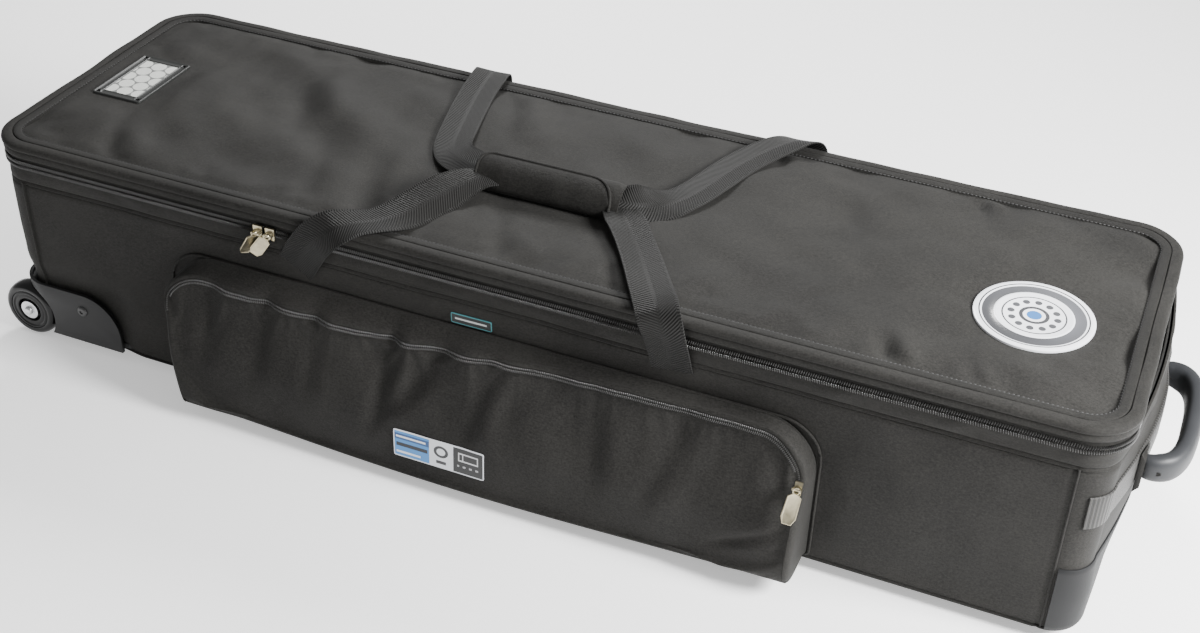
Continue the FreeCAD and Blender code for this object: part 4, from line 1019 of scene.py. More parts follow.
def ribbon(name, way):
    width, thickness, cup, fold = (strap[key] for key in ("width", "thickness", "cup", "fold"))
    marks = [Vector(place) / 1000 for place, face in way]
    centres = smoothLine(marks, strap["step"])
    rows = []
    for i, centre in enumerate(centres):
        run = (centres[min(i + 1, len(centres) - 1)] - centres[max(i - 1, 0)]).normalized()
        near = sorted(range(len(marks)), key=lambda k: (marks[k] - centre).length)[:2]
        weights = [1 / ((marks[k] - centre).length + 0.002) for k in near]
        looks = [Vector(way[k][1]).normalized() * w for k, w in zip(near, weights)]
        face = sum(looks, Vector()) / sum(weights)
        side = run.cross(face).normalized()
        face = side.cross(run).normalized()
        rows.append((centre, side, face))
    for turn in range(4):
        rows = [(c, (rows[max(k - 1, 0)][1] + s * 2 + rows[min(k + 1, len(rows) - 1)][1]).normalized(), f)
                for k, (c, s, f) in enumerate(rows)]
    section = [(-0.5, 0.0), (-0.485, 0.42), (-0.44, 0.5), (-0.22, 0.5), (0.0, 0.5), (0.22, 0.5),
               (0.44, 0.5), (0.485, 0.42), (0.5, 0.0), (0.485, -0.42), (0.44, -0.5), (0.0, -0.5),
               (-0.44, -0.5), (-0.485, -0.42)]
    grid = []
    for centre, side, face in rows:
        share = bunched(centre)
        grid.append([centre + side * (u * width * share) + face * (v * thickness + cup * (4 * u * u - 0.5)
                                                                  + fold * (1 - share) * (0.25 - u * u) * 4)
                     for u, v in section])
    across = [(u + 0.5) * width for u, v in section] + [0.0]
    along = cumulate([centre for centre, side, face in rows])
    return gridObject(name, grid, tube=True, capEnds=True, across=across, along=along)


def makeStraps():
    for name, way, legs, loop, side in (("frontStrapWebbing", frontStrapWay, "front_legs", "front_loop", -1),
                                        ("rearStrapWebbing", rearStrapWay, "rear_legs", "rear_loop", 1)):
        piece = ribbon(name, way)
        body = loop.split("_")[0]
        finish(piece, webbing, None, "webbing", body + "_strap_legs", body + "_strap_loop")
        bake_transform(piece)


makeStraps()

# Grip: a padded roll round the straps, and a cover whose piped edge lies along its top
gripShape = {
    "pad": (0.0145, 0.0125, 0.2705), "cover": ((-0.0170, 0.2592), (-0.0152, 0.2660), (-0.0150, 0.2740),
            (-0.0180, 0.2815), (-0.0240, 0.2862), (-0.0310, 0.2870), (-0.0385, 0.2840), (-0.0450, 0.2780),
            (-0.0500, 0.2700), (-0.0525, 0.2635), (-0.0520, 0.2594)),
    "flap": ((-0.0290, 0.2888), (-0.0345, 0.2880), (-0.0405, 0.2848), (-0.0465, 0.2792), (-0.0515, 0.2712),
             (-0.0540, 0.2640), (-0.0532, 0.2588)),
    "corners": (0.014, 0.030), "pipe": 0.0017, "thickness": 0.0022, "coverStep": 0.0022, "flapStep": 0.0016,
    "padRings": 60, "padSides": 28, "coverColumns": 70, "flapColumns": 80, "past": 0.006,
}


def roundedDrop(distance, turn):
    # how far a rounded corner of that radius lies below the straight edge
    return turn - math.sqrt(max(turn ** 2 - (turn - distance) ** 2, 0.0)) if distance < turn else 0.0


def makeGrip():
    left, right = grip["x"] - grip["half"], grip["x"] + grip["half"]
    a, b, height = gripShape["pad"]
    rings, sides = gripShape["padRings"], gripShape["padSides"]
    rows = []
    for i in range(rings + 1):
        t = i / rings
        x = mix(left - 0.001, right + 0.004, t)
        swell = (1 - abs(2 * t - 1) ** 14) ** 0.5 if 0 < t < 1 else 0.0
        swell = max(swell, 0.02)
        rows.append([Vector((x, grip["y"] + a * swell * math.cos(s) * (1 + 0.05 * lumps(x, s, 0, 0.03, 31)),
                             height + b * swell * math.sin(s) * (1 + 0.05 * lumps(x, s, 1, 0.03, 31))))
                     for s in (2 * math.pi * k / sides for k in range(sides))])
    pad = gridObject("gripPadCloth", rows, tube=True, capEnds=True)
    finish(pad, edgeCloth, "rear_loop", "grip_rubber", "grip_pad")

    cover = smoothLine([Vector((0, y, z)) for y, z in gripShape["cover"]], gripShape["coverStep"])
    far, columns = right + gripShape["past"], gripShape["coverColumns"]
    rows = []
    for i in range(columns + 1):
        x = mix(left, far, i / columns)
        end = ease(0.012, 0.0, min(x - left, far - x))
        rows.append([Vector((x, p.y + 0.0012 * lumps(x, k * 0.002, 0, 0.03, 32),
                             p.z - 0.0022 * end * ease(0.270, 0.284, p.z)
                             + 0.0010 * lumps(x, k * 0.002, 3, 0.04, 33)))
                     for k, p in enumerate(cover)])

    def awayFromPad(c):
        return Vector((0, c.y - grip["y"], c.z - height))

    back = gridObject("gripCover", rows, outward=awayFromPad)
    thicken(back, gripShape["thickness"])
    flap = smoothLine([Vector((0, y, z)) for y, z in gripShape["flap"]], gripShape["flapStep"])
    count, columns = len(flap) - 1, gripShape["flapColumns"]
    length = gripShape["flapStep"] * count
    rows, rim = [], []
    leftTurn, rightTurn = gripShape["corners"]
    for i in range(columns + 1):
        x = mix(left - 0.001, right - 0.002, i / columns)
        nearLeft, nearRight = x - left + 0.001, right - 0.002 - x
        drop = roundedDrop(nearLeft, leftTurn)
        if nearRight < rightTurn:
            drop = roundedDrop(nearRight, rightTurn) * 0.95
        row = []
        for k in range(count + 1):
            s = mix(drop, length, k / count) / length * count
            low = min(int(s), count - 1)
            p = flap[low].lerp(flap[low + 1], s - low)
            puff = 0.0016 * math.sin(math.pi * k / count) + 0.0008 * lumps(x, k * 0.002, 5, 0.025, 34)
            row.append(Vector((x, p.y - puff, p.z + puff * 0.5)))
        rows.append(row)
        rim.append(row[0])
    rim = [rows[0][k] for k in range(count, 0, -2)] + rim + [rows[-1][k] for k in range(1, count + 1, 2)]
    front = gridObject("gripFlap", rows, outward=awayFromPad)
    thicken(front, gripShape["thickness"])
    pipe = cord("gripPipe", rim, gripShape["pipe"])
    finish(join("gripFlapCloth", [back, front]), edgeCloth, "grip_flap", "grip_rubber", "grip_flap")
    finish(pipe, edgeCloth, "grip_flap", "piping")


makeGrip()
print("straps and grip ready")

# Plastics, metals and prints
def mouldedPlastic(name, colour, roughness, grain=0.00012, coat=0.0):
    paint = Paint(name, Specular_IOR_Level=0.30, Coat_Weight=coat, Coat_Roughness=0.15)
    places = paint.places()
    pits = paint.speckle(places, 950.0, 2.0)
    rub = paint.speckle(places, 28.0, 5.0)
    tone = (rub * 0.7 + pits * 0.5 - 0.1).between(0.0, 1.0)
    skin = paint.blend(tone, shade(colour, 0.75), shade(colour, 1.25))
    return paint.wear(Base_Color=skin, Roughness=rub * 0.14 + pits * 0.06 + (roughness - 0.10),
                      Normal=paint.bump(pits, grain, 0.7))


def metal(name, colour, roughness):
    paint = Paint(name, Metallic=1.0)
    places = paint.places()
    haze = paint.speckle(places, 180.0, 4.0)
    streak = paint.speckle(paint.stretch(places, 300, 2200, 300), 1.0, 2.0)
    skin = paint.blend(haze, shade(colour, 0.5), colour)
    return paint.wear(Base_Color=skin, Roughness=haze * 0.2 + streak * 0.1 + (roughness - 0.15),
                      Normal=paint.bump(streak, 0.00003, 0.5))


guardPlastic = mouldedPlastic("guardPlastic", (0.0100, 0.0101, 0.0104), 0.50)
kickPlastic = mouldedPlastic("kickPlastic", (0.0042, 0.0045, 0.0050), 0.60, grain=0.0002)
runnerPlastic = mouldedPlastic("runnerPlastic", (0.012, 0.012, 0.012), 0.55)
tyreRubber = mouldedPlastic("tyreRubber", (0.0014, 0.0014, 0.0015), 0.23, grain=0.00004, coat=0.05)
hubPlastic = mouldedPlastic("hubPlastic", (0.0016, 0.0016, 0.0016), 0.34, grain=0.00005)
handleRubber = mouldedPlastic("handleRubber", (0.022, 0.023, 0.025), 0.48, grain=0.00010)
framePlastic = mouldedPlastic("framePlastic", (0.020, 0.021, 0.020), 0.42, grain=0.00008)
boardPlastic = mouldedPlastic("boardPlastic", (0.03, 0.03, 0.03), 0.6)
zincSteel = metal("zincSteel", (0.78, 0.79, 0.80), 0.34)
darkSteel = metal("darkSteel", (0.10, 0.10, 0.10), 0.42)
paleBrass = metal("paleBrass", (0.62, 0.555, 0.390), 0.32)


# Lining: a cloth tray in front of the foam, stepped over the wheel cups
tray = {
    "inset": 0.0135, "corner": 0.020, "top": 0.2302, "floor": 0.0246, "levels": 30, "topInset": 0.0046,
    "cup": (-0.5425, 0.1405, 0.0805), "counts": (150, 50, 8), "thickness": 0.0014, "straight": 0.142,
    "lidInset": 0.0065, "quilt": 0.24, "binding": 0.0011,
}


def trayPoint(k, z, ring, topRing):
    shift = ease(0.214, 0.224, z)
    x, y, nx, ny = (mix(a, b, shift) for a, b in zip(ring[k], topRing[k]))
    soft = 0.0010 * lumps(x, y, z, 0.06, 41) * ease(0.228, 0.20, z)
    if x > case["seamX"] - 0.012 and nx > 0:
        x += bowedEnd(min(abs(y), tray["straight"])) * bowShare(z)
    x, y = x + nx * (soft - 0.001), y + ny * (soft - 0.001)
    cupX, cupY, cupZ = tray["cup"]
    if x < cupX and abs(y) > cupY and z < cupZ:
        x, y = cupX, math.copysign(cupY, y)
    return Vector((x, y, z))


def makeLining():
    inset = tray["inset"]
    ring = ringPath(case["bodyX"] - inset, case["bodyY"] - inset, tray["corner"], tray["counts"])
    topRing = ringPath(case["lidX"] - wall["bandInset"] - tray["topInset"],
                       case["lidY"] - wall["bandInset"] - tray["topInset"], 0.040, tray["counts"])
    cupX, cupY, cupZ = tray["cup"]
    count = tray["levels"]
    levels = [mix(tray["floor"] + 0.003, tray["top"], k / count) for k in range(count + 1)]
    levels = sorted(levels + [cupZ - 0.0002, cupZ + 0.0002], reverse=True)
    rows = [[trayPoint(k, z, ring, topRing) for z in levels] for k in range(len(ring))]
    walls = gridObject("trayWalls", rows, wrap=True, outward=lambda c: Vector((-c.x, -c.y * 3, 0)))

    def floorPoint(x, y):
        far = ease(case["seamX"] - 0.02, case["bodyX"] - inset, x)
        z = tray["floor"] + 0.0008 * lumps(x, y, 0, 0.08, 42)
        z += 0.003 * ease(0.01, 0.0, case["bodyY"] - inset - abs(y))
        if x < cupX and abs(y) > cupY:
            z = cupZ
        return Vector((x + bowedEnd(min(abs(y), tray["straight"])) * bowShare(0.03) * far, y, z))

    places = roundGrid(case["bodyX"] - inset, case["bodyY"] - inset, tray["corner"], 110, 34)
    floor = gridObject("trayFloor", laidOver(places, floorPoint), outward=facing(0, 0, 1))
    for part in (walls, floor):
        thicken(part, tray["thickness"])
    rim = [trayPoint(k, tray["top"] + 0.0004, ring, topRing) for k in range(len(ring))]
    binding = cord("trayBinding", rim, tray["binding"], closed=True)
    finish(join("liningTray", [walls, floor]), liningCloth, "root", "lining_cloth",
           "lining", "foam_sides", "foam_wheel_end", "foam_handle_end")
    finish(binding, edgeCloth, "root", "lining_cloth")

    # under the lid: a padded cloth face inside the zip's tape
    halfX, halfY = case["lidX"] - tray["lidInset"], case["lidY"] - tray["lidInset"]

    def liningPoint(x, y):
        depth = min(halfX - abs(x), halfY - abs(y))
        quilt = 0.0011 * (abs(math.sin(math.pi * x / tray["quilt"])) ** 0.35 - 1.0) * ease(0.0, 0.03, depth)
        z = 0.2428 - 0.0034 * ease(0.0, 0.030, depth) - quilt - 0.0007 * lumps(x, y, 0, 0.05, 43)
        return Vector((x, y, z))

    places = roundGrid(halfX, halfY, case["lidCorner"] - 0.006, 170, 50)
    under = gridObject("lidLiningCloth", laidOver(places, liningPoint), outward=facing(0, 0, -1))
    thicken(under, 0.0016)
    finish(under, liningCloth, "lid", "lining_cloth", "lid_lining", "lid_foam")

    # cloth hinge along the rear edge
    rows = []
    for i in range(181):
        x = mix(-0.540, 0.540, i / 180)
        section = ((0.1772, 0.2150), (0.1786, 0.2210), (0.1806, 0.2262), (0.1822, 0.2300), (0.1826, 0.2330),
                   (0.1816, 0.2366), (0.1800, 0.2402))
        rows.append([Vector((x, y + 0.0006 * lumps(x, z, 0, 0.03, 44), z)) for y, z in section])
    hinge = gridObject("hingeCloth", rows, outward=facing(0, 1, 0))
    thicken(hinge, 0.0012)
    finish(hinge, edgeCloth, None, "webbing", "hinge_tape")
    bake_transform(hinge)


makeLining()
print("lining ready")


# Wheels, axles and bearings, turned about a cross axis
def turned(name, profile, centre, segments, flip):
    x, y, z = centre
    rows = []
    for i in range(segments):
        a = 2 * math.pi * i / segments
        rows.append([Vector((x + r * math.cos(a), flip * (y + out), z + r * math.sin(a)))
                     for r, out in profile])
    obj = gridObject(name, rows, wrap=True, tube=True)
    faceOut(obj.data, 1e-6)
    return obj


wheels = {
    "centre": (-0.586, -0.177, 0.034),
    "tyre": ((0.0241, 0.0030), (0.0243, 0.0012), (0.0262, 0.0004), (0.0290, 0.0010), (0.0312, 0.0028),
             (0.0325, 0.0056), (0.0330, 0.0090), (0.0330, 0.0130), (0.0325, 0.0164), (0.0312, 0.0192),
             (0.0290, 0.0210), (0.0262, 0.0216), (0.0241, 0.0208), (0.0241, 0.0110)),
    "hub": ((0.0113, 0.0205), (0.0113, 0.0080), (0.0130, 0.0072), (0.0138, 0.0060), (0.0142, 0.0030),
            (0.0150, 0.0014), (0.0162, 0.0010), (0.0186, 0.0016), (0.0196, 0.0019), (0.0204, 0.0016),
            (0.0212, 0.0008), (0.0226, 0.0008), (0.0238, 0.0016), (0.0240, 0.0040), (0.0240, 0.0200),
            (0.0180, 0.0212)),
    "head": ((0.0, -0.0031), (0.0024, -0.0030), (0.0038, -0.0025), (0.0047, -0.0014), (0.0050, 0.0),
             (0.0050, 0.0006), (0.0064, 0.0007), (0.0067, 0.0012), (0.0065, 0.0018), (0.0040, 0.0018),
             (0.0039, 0.0200), (0.0, 0.0200)),
    "guardBolt": (-0.507, -0.1811, 0.057), "tyreSides": 96, "hubSides": 72, "headSides": 48, "boltSides": 40,
    "bolt": ((0.0, 0.0012), (0.0022, 0.0012), (0.0025, 0.0002), (0.0038, 0.0001), (0.0054, 0.0008),
             (0.0064, 0.0020), (0.0066, 0.0032), (0.0040, 0.0034), (0.0040, 0.0080), (0.0, 0.0080)),
}


def makeWheels():
    centre = wheels["centre"]
    for side, flip in (("front", 1.0), ("rear", -1.0)):
        tyre = turned(side + "Tyre", wheels["tyre"], centre, wheels["tyreSides"], flip)
        finish(tyre, tyreRubber, "wheel_" + side, "tyre_black", "wheel_tyre_" + side)
        hub = turned(side + "Hub", wheels["hub"], centre, wheels["hubSides"], flip)
        finish(hub, hubPlastic, "wheel_" + side, "hub_plastic", "wheel_hub_" + side)
        guard = rounded(solidCopy(side + "CornerGuard", "corner_guard_" + side), 0.0009)
        finish(guard, guardPlastic, "root", "moulded_plastic", "corner_guard_" + side)
    heads = [turned("head", wheels["head"], centre, wheels["headSides"], flip) for flip in (1.0, -1.0)]
    finish(join("axleBoltPair", heads), zincSteel, "root", "screw_steel", "axle_bolts")
    bolts = [turned("bolt", wheels["bolt"], wheels["guardBolt"], wheels["boltSides"], flip)
             for flip in (1.0, -1.0)]
    finish(join("guardBoltPair", bolts), darkSteel, "root", "screw_steel", "guard_bolts")


makeWheels()
print("wheels ready")

# Handle end: wear patch, ladder webbing, webbing tabs and the moulded loop
endPieces = {
    "kick": ((-0.0080, 0.0142), (-0.0020, 0.0140), (0.0008, 0.0150), (0.0022, 0.0180), (0.0026, 0.0220),
             (0.0026, 0.0560), (0.0026, 0.0860), (0.0023, 0.0898), (0.0012, 0.0914), (-0.0006, 0.0916),
             (-0.0012, 0.0700), (-0.0012, 0.0200)),
    "band": ((-0.0006, 0.1424), (0.0010, 0.1420), (0.0020, 0.1428), (0.0022, 0.1440), (0.0020, 0.1530),
             (0.0021, 0.1600), (0.0020, 0.1670), (0.0022, 0.1760), (0.0020, 0.1772), (0.0010, 0.1780),
             (-0.0006, 0.1776)),
    "loop": ((0.6075, -0.0782), (0.6200, -0.0765), (0.6318, -0.0680), (0.6394, -0.0500),
             (0.6424, -0.0260), (0.6428, 0.0)),
    "halfThick": 0.0092, "halfTall": 0.0142, "height": 0.155, "tabNarrow": 0.45, "loopStep": 0.0028,
    "loopSides": 28, "squareness": 0.78,
}


def ladderWebbing():
    paint = Paint("ladderWebbing", Specular_IOR_Level=0.4, Sheen_Weight=0.1, Sheen_Roughness=0.4)
    across, along, none = paint.parts(paint.places("UV"))
    rungs = (along * (2 * math.pi / 0.0040)).sine().between(-0.4, 0.6)
    threads = (across * (2 * math.pi / 0.0012)).sine() * 0.5 + 0.5
    fuzz = paint.speckle(paint.places("UV"), 900.0, 2.0)
    height = rungs * 0.8 + threads * 0.2
    tone = (height * 0.7 + fuzz * 0.5 - 0.1).between(0.0, 1.0)
    skin = paint.blend(tone, (0.005, 0.0048, 0.0042), (0.0205, 0.0195, 0.0170))
    return paint.wear(Base_Color=skin, Roughness=fuzz * 0.1 + 0.5, Normal=paint.bump(height, 0.0006, 0.9))


def roundBody(name, section, first, last):
    rows = [[bodyPoint(k, z, out) for out, z in section] for k in range(first, last + 1)]
    return gridObject(name, rows, tube=True, capEnds=True)


def makeHandleEnd():
    front = seamIndex(case["seamX"], -case["bodyY"])
    rear = seamIndex(case["seamX"], case["bodyY"])
    kick = roundBody("kickPatch", endPieces["kick"], front + 1, rear - 1)
    finish(kick, kickPlastic, "root", "kick_grey", "kick_plate")
    band = roundBody("endWebbingBand", endPieces["band"], front + 4, rear - 4)
    finish(band, ladderWebbing(), "root", "webbing", "end_webbing")
    tabs = rounded(solidCopy("handleTabs", "handle_anchors"), 0.0008)
    for vertex in tabs.data.vertices:
        narrow = mix(1.0, endPieces["tabNarrow"], ease(0.607, 0.613, vertex.co.x))
        vertex.co.z = endPieces["height"] + (vertex.co.z - endPieces["height"]) * narrow
    finish(tabs, edgeCloth, "root", "webbing", "handle_anchors")

    half = [Vector((x, y, endPieces["height"])) for x, y in endPieces["loop"]]
    line = smoothLine(half + [Vector((p.x, -p.y, p.z)) for p in half[-2::-1]],
                      endPieces["loopStep"])
    places = cumulate(line)
    rows = []
    # an oval tube with rounded ends, a little taller in its middle
    for i, point in enumerate(line):
        run = (line[min(i + 1, len(line) - 1)] - line[max(i - 1, 0)]).normalized()
        side = Vector((run.y, -run.x, 0.0))
        end = min(places[i], places[-1] - places[i])
        close = math.sqrt(max(1 - (1 - min(end / 0.005, 1.0)) ** 2, 0.0004))
        thick = endPieces["halfThick"] * mix(0.86, 1.0, ease(0.0, 0.014, end)) * close
        tall = mix(0.0126, endPieces["halfTall"], ease(0.004, 0.020, end)) * mix(0.6, 1.0, close)
        tall *= 1 + 0.03 * math.sin(math.pi * places[i] / places[-1])
        row = []
        for j in range(endPieces["loopSides"]):
            a = 2 * math.pi * j / endPieces["loopSides"]
            c, s = math.cos(a), math.sin(a)
            power = endPieces["squareness"]
            row.append(point + side * math.copysign(abs(c) ** power, c) * thick
                       + Vector((0, 0, math.copysign(abs(s) ** power, s) * tall)))
        rows.append(row)
    loop = gridObject("grabLoop", rows, tube=True, capEnds=True)
    finish(loop, handleRubber, "grab_handle", "grip_rubber", "grab_handle")


makeHandleEnd()
print("handle end ready")


# Zip sliders and their pull tabs
pulls = {
    "left": {"pivot": (-0.259, -0.1876, 0.2320), "lean": 31.0, "twist": 48.0, "tilt": 6.0, "size": 1.16},
    "right": {"pivot": (-0.245, -0.1876, 0.2320), "lean": 36.0, "twist": 8.0, "tilt": 6.0, "size": 1.16},
    "pocket": {"pivot": (0.3245, -0.2175, 0.1321), "lean": 5.0, "twist": 12.0, "tilt": -22.0, "size": 1.18},
    "outline": ((-0.0016, -0.0030), (-0.0056, -0.0062), (-0.0060, -0.0240), (-0.0036, -0.0296),
                (0.0036, -0.0296), (0.0060, -0.0240), (0.0056, -0.0062), (0.0016, -0.0030)),
    "thickness": 0.0017, "eye": 0.0030, "wire": 0.0009,
}


def pullTab(name, pivot, lean, twist, tilt, size):
    rim = [Vector((x * size, 0.0, z * size)) for x, z in pulls["outline"]]
    work = bmesh.new()
    face = work.faces.new([work.verts.new(p) for p in rim])
    grown = bmesh.ops.extrude_face_region(work, geom=[face])
    bmesh.ops.translate(work, verts=[v for v in grown["geom"] if isinstance(v, bmesh.types.BMVert)],
                        vec=(0, -pulls["thickness"], 0))
    bmesh.ops.recalc_face_normals(work, faces=work.faces)
    faces = [f for f in work.faces if abs(f.normal.y) > 0.9]
    for flat in faces:
        bmesh.ops.inset_region(work, faces=[flat], thickness=0.0011, depth=0.0)
        bmesh.ops.inset_region(work, faces=[flat], thickness=0.0003, depth=-0.0003)
    mesh = bpy.data.meshes.new(name)
    work.to_mesh(mesh)
    work.free()
    plate = newObject(name, mesh)
    plate = rounded(plate, 0.00035)
    ring = [(pulls["eye"] * math.cos(a), -pulls["thickness"] / 2, pulls["eye"] * math.sin(a) - 0.0014)
            for a in (2 * math.pi * k / 24 for k in range(24))]
    loop = cord(name, ring, pulls["wire"], closed=True)
    tab = join(name, [plate, loop])
    turn = (Matrix.Rotation(math.radians(tilt), 4, "X") @ Matrix.Rotation(math.radians(lean), 4, "Y")
            @ Matrix.Rotation(math.radians(twist), 4, "Z"))
    middle = Matrix.Translation((0, pulls["thickness"] / 2, 0))
    tab.data.transform(Matrix.Translation(Vector(pivot)) @ turn @ middle)
    return tab


def makeSliders():
    for side in ("left", "right", "pocket"):
        slider = rounded(solidCopy(side + "ZipSlider", side + "_slider"), 0.0005)
        finish(slider, paleBrass, side + "_slider", "pull_metal", side + "_slider")
        tab = pullTab(side + "PullTab", **pulls[side])
        finish(tab, paleBrass, side + "_pull", "pull_metal", side + "_pull")


makeSliders()
print("sliders ready")


# Printed pieces: pocket label, small tag, round badge and the card in its frame
def printedLabel():
    paint = Paint("labelPrint", Specular_IOR_Level=0.4)
    up, along, none = paint.parts(paint.places("UV"))

    def area(a0, a1, u0, u1):
        return along.over(a0) * along.under(a1) * up.over(u0) * up.under(u1)

    thread = (along * 520).sine() * (up * 200).sine()
    skin = paint.blend(area(0.012, 0.40, 0.04, 0.96), (0.62, 0.63, 0.66), (0.055, 0.22, 0.50))
    skin = paint.blend(area(0.012, 0.40, 0.66, 0.88), skin, (0.02, 0.07, 0.20))
    skin = paint.blend(area(0.03, 0.36, 0.73, 0.80), skin, (0.66, 0.68, 0.72))
    skin = paint.blend(area(0.03, 0.38, 0.40, 0.54), skin, (0.012, 0.014, 0.02))
    skin = paint.blend(area(0.03, 0.30, 0.14, 0.22), skin, (0.66, 0.68, 0.72))
    ringA, ringU = (along - 0.53) * 2.75, up - 0.62
    reach = (ringA * ringA + ringU * ringU) ** 0.5
    skin = paint.blend(reach.under(0.22) * reach.over(0.13), skin, (0.03, 0.03, 0.032))
    skin = paint.blend(area(0.475, 0.585, 0.16, 0.28), skin, (0.03, 0.03, 0.032))
    skin = paint.blend(area(0.665, 0.99, 0.04, 0.96), skin, (0.014, 0.014, 0.014))
    frameArea = area(0.72, 0.94, 0.48, 0.80) * (1 - area(0.732, 0.928, 0.53, 0.75))
    skin = paint.blend(frameArea, skin, (0.55, 0.55, 0.56))
    skin = paint.blend(area(0.765, 0.776, 0.50, 0.78), skin, (0.55, 0.55, 0.56))
    dots = (along * 90).sine().over(0.2) * area(0.71, 0.95, 0.26, 0.33)
    skin = paint.blend(dots, skin, (0.35, 0.35, 0.36))
    return paint.wear(Base_Color=skin, Roughness=thread * 0.06 + 0.42,
                      Normal=paint.bump(thread, 0.00005, 0.5))


def printedTag():
    paint = Paint("tagPrint", Specular_IOR_Level=0.4)
    up, along, none = paint.parts(paint.places("UV"))
    edge = 1 - along.over(0.02) * along.under(0.98) * up.over(0.08) * up.under(0.92)
    line = up.over(0.42) * up.under(0.60) * along.over(0.10) * along.under(0.88)
    skin = paint.blend(edge, (0.012, 0.014, 0.014), (0.05, 0.20, 0.22))
    skin = paint.blend(line, skin, (0.46, 0.48, 0.48))
    weave = (along * 400).sine() * (up * 110).sine()
    return paint.wear(Base_Color=skin, Roughness=weave * 0.05 + 0.5, Normal=paint.bump(weave, 0.00005, 0.5))


def printedBadge():
    paint = Paint("badgePrint", Specular_IOR_Level=0.55, Coat_Weight=0.3, Coat_Roughness=0.15)
    x, y, z = paint.parts(paint.places())
    bx, by, br = lid["badge"]
    x, y = x - bx, y - by
    reach = (x * x + y * y) ** 0.5
    turn = paint.node("ShaderNodeMath", {"operation": "ARCTAN2"}, y, x)
    pale, dark = (0.80, 0.81, 0.84), (0.045, 0.046, 0.050)
    skin = paint.blend(reach.under(0.0510), pale, shade(dark, 0.6))
    skin = paint.blend(reach.under(0.0496), skin, pale)
    # the dark ring is painted lighter towards one side and darker towards the other: a painted sheen
    ringWithPaintedSheen = paint.blend((turn + 0.8).sine() * 0.5 + 0.5, dark, shade(dark, 2.2))
    skin = paint.blend(reach.under(0.0478), skin, ringWithPaintedSheen)
    skin = paint.blend(reach.under(0.0370), skin, pale)
    skin = paint.blend(reach.under(0.0300) * reach.over(0.0285), skin, dark)
    spoke = ((turn * (6 / math.pi) + 6.5).fraction() - 0.5) * (0.0215 * math.pi / 6)
    depth = reach - 0.0215
    dot = (spoke * spoke + depth * depth).under(0.0034 ** 2)
    skin = paint.blend(dot, skin, shade(dark, 1.4))
    skin = paint.blend(reach.under(0.0140), skin, dark)
    skin = paint.blend(reach.under(0.0105), skin, pale)
    skin = paint.blend(reach.under(0.0070), skin, (0.04, 0.15, 0.38))
    haze = paint.speckle(paint.places(), 60.0)
    return paint.wear(Base_Color=skin, Roughness=haze * 0.12 + 0.26)


def latticeCard():
    paint = Paint("latticeCard", Specular_IOR_Level=0.35)
    x, y, z = paint.parts(paint.places())
    wide, long = 0.0185, 0.0320
    rings = []
    for shift in (0.0, 0.5):
        across = (((x + 0.526) / wide + shift).fraction() - 0.5) * wide
        down = (((y - 0.002) / long + shift).fraction() - 0.5) * long
        rings.append((across * across + down * down) ** 0.5)
    line = rings[0].least(rings[1])
    fibres = paint.speckle(paint.places(), 700.0, 3.0)
    paper = paint.blend(fibres, (0.50, 0.51, 0.48), (0.66, 0.67, 0.63))
    skin = paint.blend(line.between(0.0083, 0.0090), paper, (0.030, 0.034, 0.030))
    return paint.wear(Base_Color=skin, Roughness=fibres * 0.2 + 0.6)


def clearSheet():
    paint = Paint("clearSheet", Alpha=0.10, Specular_IOR_Level=0.6)
    wave = paint.speckle(paint.places(), 40.0)
    skin = paint.blend(wave, (0.7, 0.72, 0.7), (0.9, 0.9, 0.9))
    return paint.wear(Roughness=wave * 0.1 + 0.06, Base_Color=skin, Normal=paint.bump(wave, 0.001, 0.3))


def flatSheet(name, centreX, centreY, halfX, halfY, corner, level, thickness):
    places = roundGrid(halfX, halfY, corner, 16, 16)
    rows = laidOver(places, lambda x, y: Vector((centreX + x, centreY + y, level)))
    return thicken(gridObject(name, rows, outward=facing(0, 0, 1)), thickness)


trims = {
    "badge": ((0.0, 0.0020), (0.0330, 0.0020), (0.0350, 0.0026), (0.0366, 0.0026), (0.0376, 0.0020),
              (0.0480, 0.0020), (0.0500, 0.0026), (0.0545, 0.0026), (0.0558, 0.0020), (0.0560, 0.0010),
              (0.0560, 0.0), (0.0, 0.0)),
    "frame": ((-0.0102, 0.2556), (-0.0102, 0.2566), (-0.0092, 0.2571), (-0.0080, 0.2567), (-0.0034, 0.2567),
              (-0.0026, 0.2572), (-0.0012, 0.2574), (-0.0003, 0.2568), (0.0, 0.2552)),
    "frameHalf": (0.0315, 0.050), "frameCorner": 0.004, "segments": 96,
}


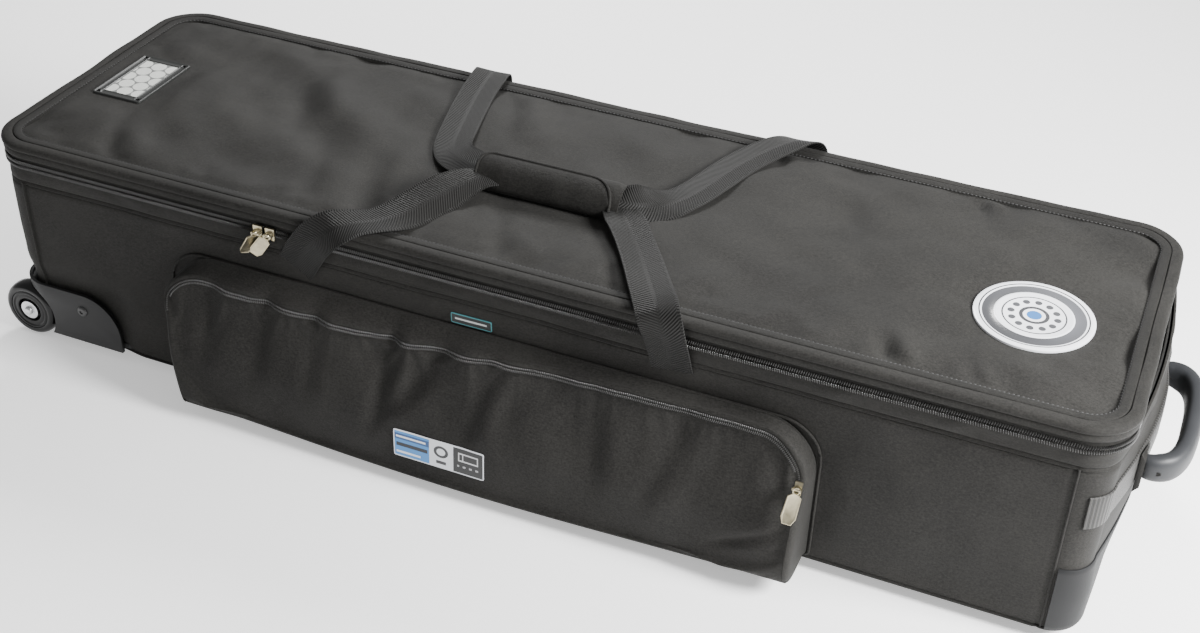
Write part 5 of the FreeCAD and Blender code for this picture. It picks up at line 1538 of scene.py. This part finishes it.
def makePrints():
    label = patch("pocketLabel", pouch["label"], lambda x, z: pocketFront(x, z) - 0.0003)
    finish(label, printedLabel(), "root", "label_print", "label_patch")
    tag = patch("sideTag", pouch["tag"], lambda x, z: frontY(x, z, 0.0002))
    finish(tag, printedTag(), "root", "label_print", "side_tag")

    bx, by, br = lid["badge"]
    rows, top = [], case["lidTop"] - lid["flat"]
    for i in range(trims["segments"]):
        a = 2 * math.pi * i / trims["segments"]
        rows.append([Vector((bx + r * math.cos(a), by + r * math.sin(a), top + h))
                     for r, h in trims["badge"]])
    badge = gridObject("roundBadge", rows, wrap=True, tube=True)
    faceOut(badge.data, 1e-6)
    finish(badge, printedBadge(), "lid", "badge_print", "badge")

    hx, hy, halfX, halfY = *lid["holder"][:2], *trims["frameHalf"]
    ring = ringPath(halfX, halfY, trims["frameCorner"], (24, 40, 6))
    rows = [[Vector((x + hx + nx * out, y + hy + ny * out, z)) for out, z in trims["frame"]]
            for x, y, nx, ny in ring]
    rim = gridObject("cardFrameRim", rows, wrap=True, tube=True)
    finish(rim, framePlastic, "lid", "moulded_plastic", "card_frame")
    paper = flatSheet("addressCard", hx, hy, 0.0275, 0.046, 0.002, 0.2560, 0.0004)
    finish(paper, latticeCard(), "lid", "card_paper", "card")
    cover = flatSheet("cardWindow", hx, hy, 0.0225, 0.041, 0.002, 0.2565, 0.0004)
    finish(cover, clearSheet(), "lid", "clear_window", "card_window")


makePrints()
print("prints ready")

# Skids, screws and what stays as it was made
runners = rounded(solidCopy("baseSkids", "base_runners"), 0.0010)
finish(runners, runnerPlastic, "root", "moulded_plastic", "base_runners")
board = solidCopy("baseBoard", "base_board")
for vertex in board.data.vertices:
    vertex.co.x = min(vertex.co.x, case["seamX"] + (vertex.co.x - case["seamX"]) * 0.55)
finish(rounded(board, 0.0010), boardPlastic, "root", "moulded_plastic", "base_board")
for node, material in (("runner_screws", zincSteel), ("wheel_bearings", zincSteel)):
    for place in nodes[node].material_slots:
        place.material = material
